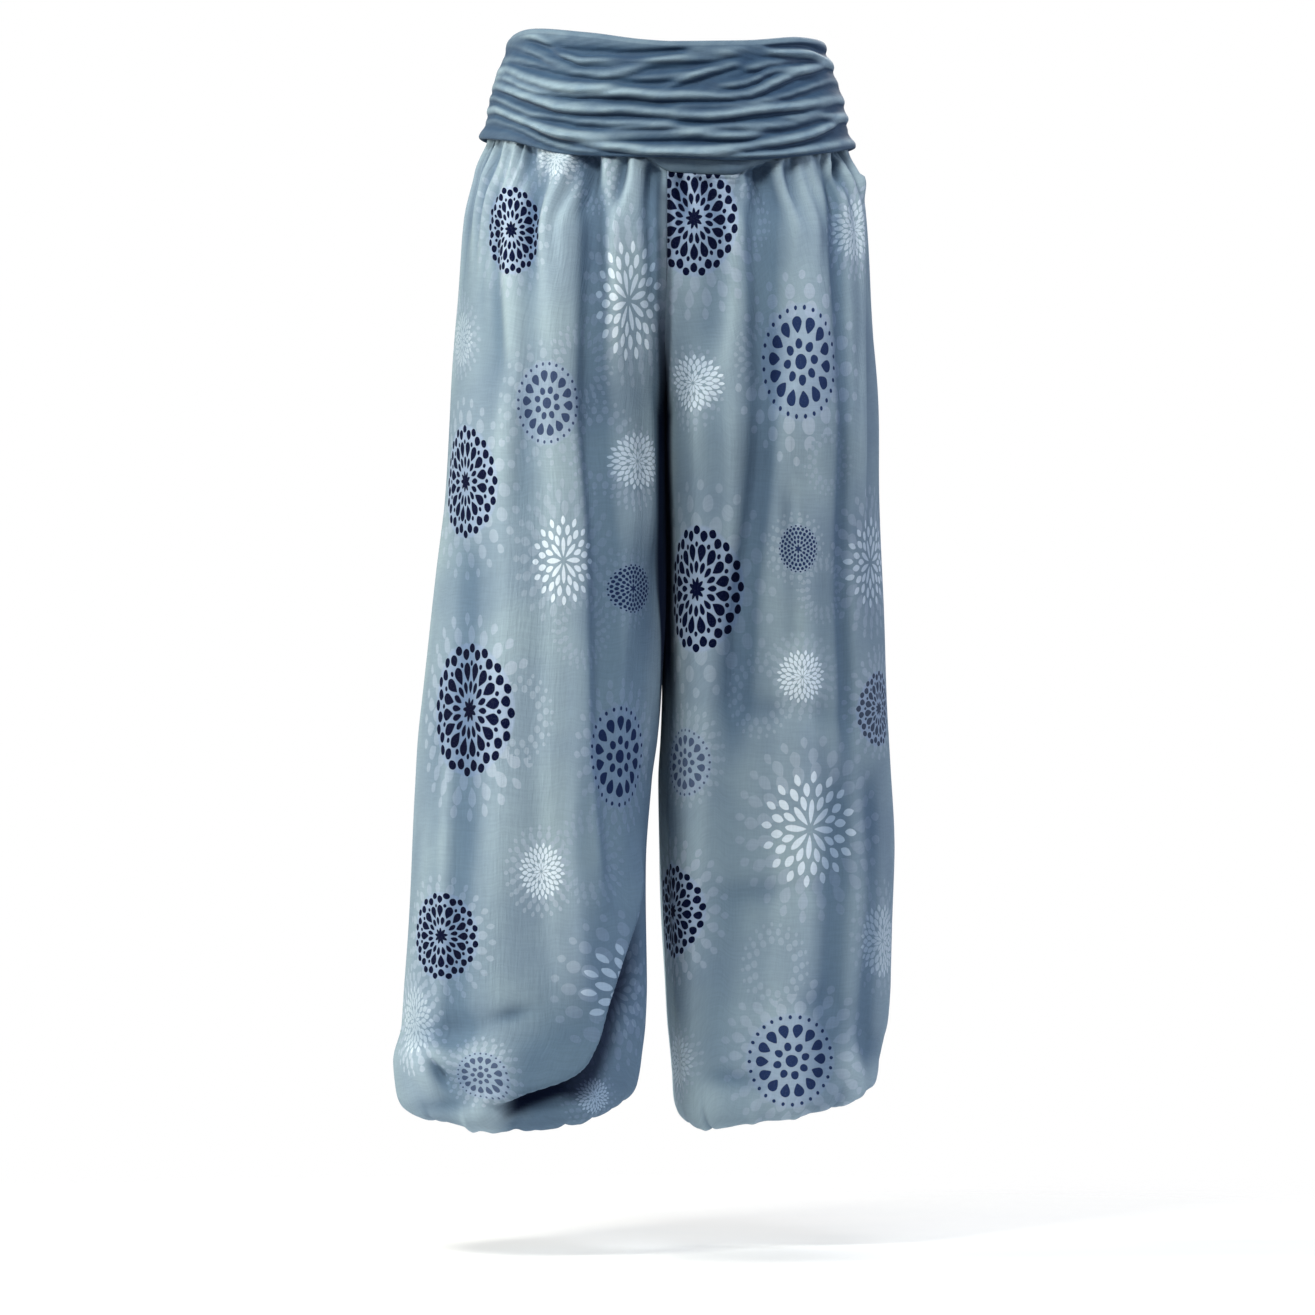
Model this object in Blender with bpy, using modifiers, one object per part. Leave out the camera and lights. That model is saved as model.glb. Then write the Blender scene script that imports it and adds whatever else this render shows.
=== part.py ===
"""Harem trousers, worn and in mid-stride: four very full printed leg panels, a folded and
ruched jersey waistband and two elastic ankle casings. Metres, +Z up, the front towards -Y and
the origin at the middle of the waist opening. "Right" and "left" are the wearer's."""

from collections import namedtuple
from math import acos, cos, exp, pi, radians, sin

import bmesh
import bpy
from mathutils import Vector

MM = 0.001

# Walls, seams and hollows, in millimetres
CLOTH = 1.2
JERSEY = 1.6
ELASTIC = 1.8
SEAM_GAP = 0.3
BAND_SEAM = 0.24
LAYER_SPACE = 7.0
CROTCH = 335.0
CLEFT_TOP = 110.0
FULLNESS = 0.88
PUFF = 13.0
ANKLE_RADIUS = 42.0
CUFF_TOP = 941.5
CUFF_HEIGHT = 20.0

# How finely each sheet is divided, and its gathers
FRONT_COLUMNS = 40
BACK_COLUMNS = 20
FINE_ROWS = 5
GATHERS = 10
GATHER_HEIGHT = 4.4
ANKLE_GATHER_HEIGHT = 2.2
BAND_FRONT_COLUMNS = 22
BAND_BACK_COLUMNS = 16
CUFF_COLUMNS = 32

# The leg as rings. Level is the depth below the waist; outer and inner are distances from the
# centre plane; middle is where the side seams lie in Y; front and back are measured from there.
Section = namedtuple("Section", "level outer inner middle front back")
RIGHT_SECTIONS = (
    Section(80, 163.0, 0.75, 0, 109, 112),
    Section(95, 168.5, 0.75, 0, 113, 117),
    Section(108, 172.0, 0.75, 0, 117, 121),
    Section(158, 182.0, 0.75, 0, 126, 131),
    Section(230, 187.0, 0.75, 0, 133, 138),
    Section(335, 195.0, 0.75, 0, 137, 142),
    Section(400, 198.5, 4.6, -12, 132, 138),
    Section(480, 206.0, 4.6, -26, 128, 133),
    Section(590, 218.0, 4.6, -43, 124, 128),
    Section(625, 221.0, 6.0, -48, 123, 126),
    Section(661, 222.5, 13.5, -53, 122, 125),
    Section(733, 226.8, 20.0, -62, 120, 122),
    Section(841, 233.0, 18.5, -73, 117, 118),
    Section(877, 235.5, 20.0, -76, 116, 117),
    Section(913, 243.0, 24.0, -79, 116, 116),
    Section(935, 243.0, 25.2, -80, 114, 114),
)
LEFT_SECTIONS = (
    Section(80, 160.0, 0.75, 0, 109, 112),
    Section(95, 164.5, 0.75, 0, 113, 117),
    Section(108, 169.2, 0.75, 0, 117, 121),
    Section(158, 177.3, 0.75, 0, 126, 131),
    Section(230, 182.7, 0.75, 0, 133, 138),
    Section(335, 189.0, 0.75, 0, 137, 142),
    Section(400, 190.5, -1.4, 9, 133, 137),
    Section(480, 193.5, -1.4, 20, 128, 132),
    Section(590, 198.0, -1.4, 36, 123, 127),
    Section(625, 200.0, -2.6, 41, 122, 125),
    Section(661, 201.6, -7.2, 46, 121, 124),
    Section(733, 204.3, -5.2, 54, 118, 121),
    Section(841, 202.5, -0.9, 65, 114, 117),
    Section(877, 199.8, 0.9, 68, 112, 115),
    Section(913, 193.0, 4.5, 71, 110, 113),
    Section(935, 190.0, 6.3, 72, 108, 111),
)

# Lowest level of the bloused hem at each eighth of the way round, from the outer side by the
# front to the inner side and back
Hem = namedtuple("Hem", "outer front_outer front front_inner inner back_inner back back_outer")
RIGHT_HEM = Hem(962, 968, 977, 966, 947, 956, 968, 965)
LEFT_HEM = Hem(938, 956, 967, 976, 965, 962, 968, 952)

# The bloused turn: how far the wall has moved in towards the ankle, fallen to the hem line and
# risen again to the casing, at each step along it, and how far it stands above the casing there
Turn = namedtuple("Turn", "along inward fall rise lift")
TURN = (
    Turn(0.00, 0.00, 0.00, 0.00, 0.0),
    Turn(0.22, 0.00, 0.40, 0.00, 0.0),
    Turn(0.42, 0.03, 0.75, 0.00, 0.0),
    Turn(0.58, 0.12, 0.94, 0.00, 0.0),
    Turn(0.70, 0.30, 1.00, 0.00, 0.0),
    Turn(0.82, 0.60, 1.00, 0.25, 0.0),
    Turn(0.90, 0.86, 1.00, 0.80, 6.0),
    Turn(0.95, 1.00, 1.00, 1.00, 6.0),
    Turn(1.00, 1.00, 1.00, 1.00, 0.0),
)
TURN_TOP = 885.0
LEG_LEVELS = (100, 102.5, 108, 116, 130, 150, 180, 212, 244, 272, 296, 317, 335)
LEG_LEVELS += (375, 435, 500, 565, 630, 695, 760, 825, 885)

# Large folds that run down a panel: height (a valley is negative), width, where they start and
# end, and their distance from the centre plane at five levels
Fold = namedtuple("Fold", "height width start end at_130 at_300 at_500 at_700 at_860")
FOLD_LEVELS = (130, 300, 500, 700, 860)
RIGHT_FRONT_FOLDS = (
    Fold(8.0, 16, 120, 905, 97, 96, 91, 86, 80),
    Fold(-13.0, 13, 112, 900, 64, 61, 55, 46, 36),
    Fold(6.0, 9, 108, 320, 41, 40, 39, 39, 39),
    Fold(5.0, 11, 320, 860, 25, 25, 23, 22, 20),
    Fold(-6.0, 13, 150, 700, 142, 147, 153, 160, 160),
    Fold(6.0, 14, 520, 930, 172, 172, 178, 186, 190),
)
LEFT_FRONT_FOLDS = (
    Fold(8.0, 14, 125, 900, 32, 30, 28, 25, 27),
    Fold(-13.0, 13, 112, 880, 84, 80, 73, 65, 60),
    Fold(9.0, 16, 115, 930, 126, 125, 122, 118, 114),
    Fold(-6.0, 12, 130, 640, 155, 157, 159, 160, 160),
    Fold(-6.0, 13, 640, 930, 150, 150, 154, 154, 152),
)
RIGHT_BACK_FOLDS = (
    Fold(9.0, 16, 120, 900, 108, 105, 100, 95, 90),
    Fold(-12.0, 13, 120, 880, 72, 67, 60, 54, 48),
    Fold(7.0, 13, 130, 860, 34, 32, 30, 30, 32),
    Fold(-7.0, 13, 140, 760, 146, 150, 156, 162, 164),
)
LEFT_BACK_FOLDS = (
    Fold(9.0, 15, 120, 900, 120, 118, 113, 108, 104),
    Fold(-12.0, 13, 120, 880, 84, 80, 73, 66, 60),
    Fold(8.0, 13, 130, 880, 44, 40, 36, 32, 34),
    Fold(-6.0, 13, 140, 720, 152, 155, 158, 160, 160),
)

# The swag that hangs over itself low on the right leg's front: its edge's distance from the
# centre plane at each level
Swag = namedtuple("Swag", "level edge")
SWAG = (
    Swag(760, 20), Swag(796, 24), Swag(860, 38), Swag(885, 55),
    Swag(913, 67), Swag(928, 76), Swag(943, 94), Swag(950, 116), Swag(957, 140),
)
SWAG_HEIGHT = 6.0
SWAG_SOFTNESS = 7.0
SWAG_REACH = 38.0

# The waistband's outer layer: half extents towards each side at each height
Girth = namedtuple("Girth", "height right left front back")
BAND_GIRTHS = (
    Girth(-110, 168.0, 168.0, 119, 124),
    Girth(-80, 165.5, 165.0, 116, 120),
    Girth(-54, 162.5, 161.5, 112, 116),
    Girth(-27, 155.0, 153.0, 107, 110),
    Girth(-9, 147.5, 146.0, 104, 106),
    Girth(5, 142.0, 140.0, 101, 103),
)

# Lines round the waistband, as heights at stations that start at the right side seam and run
# by the front; every ruche is a row, and crest is its height above the layer
STATIONS = (0, 30, 60, 90, 120, 150, 180, 240, 300, 360)
Line = namedtuple("Line", "name crest s0 s30 s60 s90 s120 s150 s180 s240 s300")
TOP_LINE = Line("top", 0.0, 4.5, 11.5, 12.0, 1.5, 5.0, 4.5, 2.5, 11.0, 12.0)
RUCHES = (
    Line("ruche_1", 2.6, -3, -4, -14, -21, -13, -9, -14, -8, -7),
    Line("ruche_2", 3.0, -10, -17, -32, -37, -26, -18, -23, -24, -20),
    Line("ruche_3", 3.2, -18, -28, -43, -50, -42, -28, -32, -39, -33),
    Line("ruche_4", 3.2, -31, -44, -59, -66, -60, -52, -43, -54, -47),
    Line("ruche_5", 2.4, -40, -53, -69, -76, -75, -61, -51, -65, -57),
    Line("ruche_6", 2.0, -47, -60, -77, -84.5, -82, -68, -58, -75, -66),
    Line("ruche_7", 3.0, -55, -68, -86, -93, -90, -75, -66, -85, -76),
    Line("ruche_8", 2.8, -69, -79, -95, -100, -100, -89, -80, -95, -86),
)
FREE_EDGE = Line("free_edge", 0.0, -83, -88, -103, -106, -108, -99, -92, -103, -94)
LEG_SEAM = Line("leg_seam", 0.0, -79, -85, -98, -119, -125, -100, -88, -99, -90)
RUCHE_STEPS = (0.18, 0.5, 0.82)
FLICK = 4.5

Leg = namedtuple("Leg", "name side sections hem ankle folds swag")
RIGHT_LEG = Leg(
    "right", -1, RIGHT_SECTIONS, RIGHT_HEM, 132.0,
    {-1: RIGHT_FRONT_FOLDS, 1: RIGHT_BACK_FOLDS}, True,
)
LEFT_LEG = Leg(
    "left", 1, LEFT_SECTIONS, LEFT_HEM, 86.0,
    {-1: LEFT_FRONT_FOLDS, 1: LEFT_BACK_FOLDS}, False,
)
FRONT = -1
BACK = 1

Finish = namedtuple("Finish", "red green blue roughness")
PRINTED_VISCOSE = Finish(0.36, 0.46, 0.54, 0.75)
SLATE_JERSEY = Finish(0.14, 0.22, 0.31, 0.85)
CASING_CLOTH = Finish(0.26, 0.34, 0.43, 0.8)


def clamp(value):
    return min(max(value, 0.0), 1.0)


def smooth(value):
    value = clamp(value)
    return value * value * (3 - 2 * value)


def mix(first, second, share):
    return first + (second - first) * share


def curve(knots, values, x):
    """The value at x on a smooth curve through the knots that doesn't overshoot them."""
    if x <= knots[0]:
        return values[0]
    if x >= knots[-1]:
        return values[-1]
    slopes = [(b - a) / (q - p) for a, b, p, q in zip(values, values[1:], knots, knots[1:])]

    def tangent(i):
        if i in (0, len(slopes)):
            return slopes[max(i - 1, 0)]
        before, after = slopes[i - 1], slopes[i]
        return 2 * before * after / (before + after) if before * after > 0 else 0.0

    i = max(n for n in range(len(slopes)) if x >= knots[n])
    span = knots[i + 1] - knots[i]
    s = (x - knots[i]) / span
    start = (1 + 2 * s) * (1 - s) ** 2 * values[i] + s * s * (3 - 2 * s) * values[i + 1]
    return start + span * s * (1 - s) * ((1 - s) * tangent(i) - s * tangent(i + 1))


def column(rows, key, field, x):
    """A table's column at x, its rows sorted by the key column."""
    return curve([getattr(r, key) for r in rows], [getattr(r, field) for r in rows], x)


def line_height(line, degrees):
    """Height of one of the waistband's lines at this many degrees round it."""
    heights = line[2:] + (line[2],)
    return curve(STATIONS, heights, degrees % 360)


def band_point(degrees, height, offset):
    """A point of the waistband, this far outside its outer layer's mean surface."""
    turn = radians(degrees)
    side = "right" if cos(turn) > 0 else "left"
    face = "front" if sin(turn) > 0 else "back"
    wide = column(BAND_GIRTHS, "height", side, height) + offset
    deep = column(BAND_GIRTHS, "height", face, height) + offset
    return Vector((-wide * cos(turn), -deep * sin(turn), height))


def ruche_offset(degrees, index, share):
    """Height of the ruched layer between two neighbouring lines: crests at both, a trough between."""
    lines = (TOP_LINE, *RUCHES, FREE_EDGE)
    upper, lower = lines[index], lines[index + 1]
    space = line_height(upper, degrees) - line_height(lower, degrees)
    at_sides = 1 - 0.35 * abs(cos(radians(degrees))) ** 6
    crest = at_sides * min(mix(upper.crest, lower.crest, share), 0.34 * space)
    return crest * (2 * abs(cos(pi * share)) - 1)


def band_rows():
    """The rows of a waistband piece, from its inner seam over the top fold to the free edge."""
    fold = LAYER_SPACE / 2

    def inner(share):
        def place(degrees):
            low = line_height(LEG_SEAM, degrees) + SEAM_GAP / 2
            return mix(low, line_height(TOP_LINE, degrees) - fold, share), -LAYER_SPACE
        return place

    def over(turn):
        def place(degrees):
            top = line_height(TOP_LINE, degrees) - fold
            return top + fold * sin(turn), -fold * (1 + cos(turn))
        return place

    def outer(index, share):
        lines = (TOP_LINE, *RUCHES, FREE_EDGE)

        def place(degrees):
            high = line_height(lines[index], degrees) - (fold if index == 0 else 0)
            low = line_height(lines[index + 1], degrees)
            height = mix(high, low, share)
            free = line_height(FREE_EDGE, degrees)
            sideways = abs(cos(radians(degrees))) ** 8
            flick = FLICK * sideways * smooth(1 - (height - free) / 12)
            away = smooth(1 - (height - free) / 15)
            return height, ruche_offset(degrees, index, share) + flick + away
        return place

    rows = [inner(share) for share in (0, 0.3, 0.65)]
    rows += [over(radians(turn)) for turn in (0, 60, 120, 180)]
    rows += [outer(i, share) for i in range(len(RUCHES) + 1) for share in RUCHE_STEPS]
    return rows + [outer(len(RUCHES), 1.0)]


def parted(level):
    """How far the two legs have parted: 0 at the waist, 1 from the crotch down."""
    return smooth((level - CLEFT_TOP) / (CROTCH - CLEFT_TOP))


def power(value, exponent):
    return abs(value) ** exponent if value >= 0 else -(abs(value) ** exponent)


def ring_size(leg, level, depth):
    """(outer edge, half width, angle of the last seam) of a leg's ring. The row's level sets how
    far the legs have parted there, and its true depth how wide the leg is."""
    share = parted(level)
    outer = column(leg.sections, "level", "outer", depth)
    inner = SEAM_GAP / 2 + CLOTH / 2 * max(share, 0.2)
    if share == 1:
        inner = column(leg.sections, "level", "inner", depth)
    return outer, (outer - inner) / (1 + share), acos(-(share ** (1 / FULLNESS)))


def ring_point(leg, half, level, depth, across):
    """Plan position on a leg's ring; across runs from the outer seam to the inner one."""
    outer, half_width, last = ring_size(leg, level, depth)
    turn = across * last
    reach = column(leg.sections, "level", "front" if half == FRONT else "back", depth)
    middle = column(leg.sections, "level", "middle", depth)
    x = outer - half_width * (1 - power(cos(turn), FULLNESS))
    return x, middle + half * (SEAM_GAP / 2 + reach * power(sin(turn), FULLNESS))


def seam_degrees(leg, half, across):
    """Where a point of a panel's top edge lies on the waistband, in degrees round it."""
    front = 90 * across if leg.side < 0 else 180 - 90 * across
    return front if half == FRONT else 360 - front


def leg_base(leg, half, across, level):
    """A point of the panel without its gathers and folds."""
    if level <= TURN_TOP:
        degrees = seam_degrees(leg, half, across)
        seam = line_height(LEG_SEAM, degrees) - SEAM_GAP / 2
        height = mix(seam, -180.0, (level - 100) / 80) if level < 180 else -level
        x, y = ring_point(leg, half, level, -height, across)
        waist = band_point(degrees, height, -LAYER_SPACE)
        share = smooth((level - 103.5) / PUFF)
        x = mix(max(abs(waist.x), SEAM_GAP / 2 + CLOTH / 5), x, share)
        y = mix(waist.y + half * SEAM_GAP / 2, y, share)
        return Vector((leg.side * x, y, height))
    along = (level - TURN_TOP) / 100
    inward = column(TURN, "along", "inward", along)
    eighths = 4 * across if half == FRONT else 8 - 4 * across
    lowest = curve(range(9), (*leg.hem, leg.hem[0]), eighths)
    height = -mix(TURN_TOP, lowest, column(TURN, "along", "fall", along))
    height = mix(height, -CUFF_TOP + SEAM_GAP / 2, column(TURN, "along", "rise", along))
    height += column(TURN, "along", "lift", along)
    x, y = ring_point(leg, half, level, min(-height, 930.0), across)
    middle = column(leg.sections, "level", "middle", 930.0)
    ankle_x = leg.ankle + ANKLE_RADIUS * cos(pi * across)
    ankle_y = middle + half * (SEAM_GAP / 2 + 0.35 * inward + ANKLE_RADIUS * sin(pi * across))
    return Vector((leg.side * mix(x, ankle_x, inward), mix(y, ankle_y, inward), height))


def gather_height(leg, half, across, level):
    """The small gathers below the waist seam and above the ankle casing."""
    uneven = across + 0.010 * sin(2 * pi * (2 * across + 0.3 * leg.side + 0.2 * half))
    wave = cos(2 * pi * GATHERS * uneven)
    reach = 80 + 35 * sin(2 * pi * (3.1 * across + 0.17 * half)) * leg.side
    below = level - 100
    top = GATHER_HEIGHT * smooth((below - 3) / 16) * (1 - smooth((below - 25) / reach))
    ankle = ANKLE_GATHER_HEIGHT * smooth((level - TURN_TOP - 60) / 35)
    return wave * (top + ankle)


def fold_height(leg, half, x, across, level):
    """The large folds that run down the panel."""
    outer, half_width, last = ring_size(leg, level, min(level, 930.0))
    total = 0.0
    for fold in leg.folds[half]:
        middle = curve(FOLD_LEVELS, fold[4:], level)
        ends = smooth((level - fold.start) / 50) * smooth((fold.end - level) / 60)
        if ends <= 0:
            continue
        ratio = min(max((middle - outer + half_width) / half_width, -1.0), 1.0)
        away = (across * last - acos(power(ratio, 1 / FULLNESS))) * 0.55 * (half_width + 120)
        total += fold.height * ends * exp(-((away / fold.width) ** 2))
    return total


def swag_height(leg, half, x, depth, level):
    """The step where the right leg's cloth hangs over itself, low on the front."""
    if not leg.swag or half == BACK or depth < 740:
        return 0.0
    away = x - column(SWAG, "level", "edge", depth)
    ends = smooth((depth - 740) / 60) * smooth((TURN_TOP + 68 - level) / 20)
    near = exp(-((away / SWAG_REACH) ** 2))
    return SWAG_HEIGHT * ends * near * min(max(away / SWAG_SOFTNESS, -1.0), 1.0)


def leg_point(leg, half, across, level):
    """A point of the panel with its gathers and folds, in millimetres."""
    base = leg_base(leg, half, across, level)
    step = 0.01 if across < 0.99 else -0.01
    drop = 1.0 if level < TURN_TOP + 99 else -1.0
    sideways = (leg_base(leg, half, across + step, level) - base) / step
    downwards = (leg_base(leg, half, across, level + drop) - base) / drop
    normal = sideways.cross(downwards).normalized()
    centre = Vector((leg.side * 90, column(leg.sections, "level", "middle", level), base.z))
    if normal.dot(base - centre) < 0 and level < TURN_TOP + 50:
        normal.negate()
    elif level >= TURN_TOP + 50 and normal.z > 0:
        normal.negate()
    height = fold_height(leg, half, abs(base.x), across, level)
    height += swag_height(leg, half, abs(base.x), -base.z, level)
    height += gather_height(leg, half, across, level)
    at_seams = smooth(min(across, 1 - across) / 0.05)
    turned = 1 - smooth((level - TURN_TOP - 75) / 20)
    height = height * at_seams if level < TURN_TOP + 60 else height * at_seams * max(turned, 0.9)
    return base + normal * height


def finish_material(name, finish):
    material = bpy.data.materials.new(name)
    material.use_nodes = True
    shader = material.node_tree.nodes["Principled BSDF"]
    shader.inputs["Base Color"].default_value = (finish.red, finish.green, finish.blue, 1)
    shader.inputs["Roughness"].default_value = finish.roughness
    shader.inputs["Metallic"].default_value = 0.0
    return material


def cloth_object(name, bm, wall, finish, collection):
    """Turns a flat-divided sheet into a walled, smooth-shaded object of its own."""
    bmesh.ops.triangulate(bm, faces=bm.faces[:], quad_method="SHORT_EDGE")
    mesh = bpy.data.meshes.new(name)
    bm.to_mesh(mesh)
    bm.free()
    mesh.shade_smooth()
    mesh.materials.append(finish_material(name, finish))
    obj = bpy.data.objects.new(name, mesh)
    collection.objects.link(obj)
    solidify = obj.modifiers.new("wall", "SOLIDIFY")
    solidify.thickness = wall * MM
    solidify.offset = 0.0
    solidify.use_even_offset = True
    solidify.use_quality_normals = True
    return obj


def leg_panel(leg, half, collection):
    """One leg panel: finely divided by the waist gathers, and half as finely below them."""
    columns = FRONT_COLUMNS if half == FRONT else BACK_COLUMNS
    levels = [float(level) for level in LEG_LEVELS]
    levels += [TURN_TOP + 100 * turn.along for turn in TURN[1:]]
    last = len(levels) - 1
    bm = bmesh.new()
    bmesh.ops.create_grid(bm, x_segments=columns, y_segments=last, size=0.5)
    places = {v: (round((v.co.x + 0.5) * columns), round((v.co.y + 0.5) * last)) for v in bm.verts}
    if columns == FRONT_COLUMNS:
        spare = [
            e for e in bm.edges
            if all(places[v][0] % 2 == 1 and places[v][1] >= FINE_ROWS for v in e.verts)
        ]
        bmesh.ops.dissolve_edges(bm, edges=spare, use_verts=True)
    for vert in bm.verts:
        i, j = places[vert]
        # Where the divisions halve, a spare point lies midway, so that its faces stay flat.
        beside = (i - 1, i + 1) if columns == FRONT_COLUMNS and i % 2 and j == FINE_ROWS else (i, i)
        ends = [leg_point(leg, half, k / columns, levels[j]) for k in beside]
        vert.co = (ends[0] + ends[1]) / 2 * MM
    name = f"leg_{leg.name}_{'front' if half == FRONT else 'back'}"
    return cloth_object(name, bm, CLOTH, PRINTED_VISCOSE, collection)


def waistband_piece(half, collection):
    """Half of the waistband: inner layer, top fold and ruched outer layer in one sheet."""
    columns = BAND_FRONT_COLUMNS if half == FRONT else BAND_BACK_COLUMNS
    rows = band_rows()
    last = len(rows) - 1
    bm = bmesh.new()
    bmesh.ops.create_grid(bm, x_segments=columns, y_segments=last, size=0.5)
    for vert in bm.verts:
        across = vert.co.x + 0.5
        degrees = 180 * across if half == FRONT else 180 + 180 * across
        height, offset = rows[round((vert.co.y + 0.5) * last)](degrees)
        vert.co = (band_point(degrees, height, offset) + Vector((0, half * BAND_SEAM, 0))) * MM
    name = "waistband_front" if half == FRONT else "waistband_back"
    return cloth_object(name, bm, JERSEY, SLATE_JERSEY, collection)


def ankle_casing(leg, collection):
    """The elastic casing that closes a leg, hidden inside the bloused hem."""
    rows = 2
    bm = bmesh.new()
    bmesh.ops.create_grid(bm, x_segments=CUFF_COLUMNS, y_segments=rows, size=0.5)
    middle = column(leg.sections, "level", "middle", 930.0)
    for vert in bm.verts:
        turn = 2 * pi * (vert.co.x + 0.5)
        down = vert.co.y + 0.5
        ripple = 0.7 * cos(CUFF_COLUMNS / 2 * turn)
        radius = ANKLE_RADIUS + ripple
        height = -CUFF_TOP - SEAM_GAP / 2 - CUFF_HEIGHT * down
        x = leg.side * leg.ankle + radius * cos(turn)
        vert.co = Vector((x, middle + radius * sin(turn), height)) * MM
    bmesh.ops.remove_doubles(bm, verts=bm.verts, dist=1e-5)
    return cloth_object(f"ankle_casing_{leg.name}", bm, ELASTIC, CASING_CLOTH, collection)


def main():
    for obj in list(bpy.data.objects):
        bpy.data.objects.remove(obj, do_unlink=True)
    trousers = bpy.data.collections.new("harem_trousers")
    bpy.context.scene.collection.children.link(trousers)
    waistband_piece(FRONT, trousers)
    waistband_piece(BACK, trousers)
    for leg in (RIGHT_LEG, LEFT_LEG):
        leg_panel(leg, FRONT, trousers)
        leg_panel(leg, BACK, trousers)
        ankle_casing(leg, trousers)


main()
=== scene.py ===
"""Harem trousers, dressed: printed viscose leg panels with their gathers, folds and bloused hems,
a folded jersey waistband with its ruches, and elastic ankle casings, in a plain pale studio.

Sizes are millimetres in the tables and metres in the meshes. "Right" and "left" are the
wearer's; the front is towards -Y and the origin is the middle of the waist opening."""

import logging  # noqa: E402
from dataclasses import dataclass, field  # noqa: E402
from enum import Enum, IntEnum  # noqa: E402
from typing import Any, NamedTuple, Sequence  # noqa: E402

import bmesh  # noqa: E402
import bpy  # noqa: E402
import numpy as np  # noqa: E402
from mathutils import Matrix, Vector  # noqa: E402

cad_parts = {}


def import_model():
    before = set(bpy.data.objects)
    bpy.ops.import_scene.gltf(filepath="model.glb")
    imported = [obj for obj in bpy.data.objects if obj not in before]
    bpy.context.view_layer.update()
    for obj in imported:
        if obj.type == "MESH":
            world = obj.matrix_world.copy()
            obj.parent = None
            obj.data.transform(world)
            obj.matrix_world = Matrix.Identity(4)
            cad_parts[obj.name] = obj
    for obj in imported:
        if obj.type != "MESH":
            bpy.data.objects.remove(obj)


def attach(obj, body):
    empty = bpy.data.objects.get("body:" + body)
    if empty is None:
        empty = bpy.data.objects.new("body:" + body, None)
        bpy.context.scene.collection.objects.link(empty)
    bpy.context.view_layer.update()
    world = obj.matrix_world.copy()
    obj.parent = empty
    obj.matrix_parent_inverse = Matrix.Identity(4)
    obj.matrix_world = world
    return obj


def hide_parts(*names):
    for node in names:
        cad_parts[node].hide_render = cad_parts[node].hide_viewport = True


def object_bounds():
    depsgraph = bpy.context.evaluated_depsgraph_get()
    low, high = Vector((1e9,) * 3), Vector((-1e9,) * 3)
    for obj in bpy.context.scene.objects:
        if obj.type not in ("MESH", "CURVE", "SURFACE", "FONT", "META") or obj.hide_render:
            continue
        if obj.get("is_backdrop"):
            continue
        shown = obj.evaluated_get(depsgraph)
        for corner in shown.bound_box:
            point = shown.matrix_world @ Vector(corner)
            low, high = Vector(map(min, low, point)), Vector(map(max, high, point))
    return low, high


MM = 0.001
SEAM_GAP = 0.3

# A row's level is its depth below the waist: at the waist seam, where the legs start to part and
# where they have parted, where the hem starts to turn in, at the lowest ring, and at the end of
# the turn, which is only counted down and really rises to the casing.
SEAM_LEVEL = 100.0
CLEFT_TOP = 110.0
CROTCH = 335.0
TURN_TOP = 885.0
LOWEST_RING = 930.0
LAST_LEVEL = 985.0

# Each leg's middle beside the centre plane, the exponent of its rings' round shape, and how far
# the cloth takes to puff out under the waist seam.
LEG_MIDDLE = 100.0
FULLNESS = 0.88
PUFF = 26.0

# A motif's number and its rings' petal counts are stored as shares of these.
FLOWER_PLACES = 8
MOST_PETALS = 64

Array = np.ndarray


class Side(IntEnum):
    """The wearer's sides, by the sign of X."""

    RIGHT = -1
    LEFT = 1


class Half(IntEnum):
    """The two halves of a tube of cloth, by the sign of Y."""

    FRONT = -1
    BACK = 1


class Flower(IntEnum):
    """The motifs of the print. The number is the motif's place in the tables of petal rings."""

    STAR = 0
    DOTTED = 1
    ROSETTE = 2
    BURST = 3
    DAHLIA = 4
    PETAL_HALO = 5
    DOT_HALO = 6


class Hold(Enum):
    """How a piece of cloth is held."""

    GATHERED = "gathered"
    FOLDED = "folded"


class Finish(Enum):
    """The cloths that the trousers are sewn from."""

    JERSEY = "jersey"
    VISCOSE = "viscose"
    CASING = "casing"


# ---- small numeric tools


def smooth(value: Array) -> Array:
    """A soft step from 0 to 1."""
    value = np.clip(value, 0.0, 1.0)
    return value * value * (3 - 2 * value)


def mix(first: Array, second: Array, share: Array) -> Array:
    """The value this share of the way from the first to the second."""
    return first + (second - first) * share


def bell(away: Array, width: Array) -> Array:
    """A rounded hump, 1 in the middle."""
    return np.exp(-((away / width) ** 2))


def signed_power(value: Array, exponent: float) -> Array:
    """The power of a value's size, with its sign kept."""
    return np.sign(value) * np.abs(value) ** exponent


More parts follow.
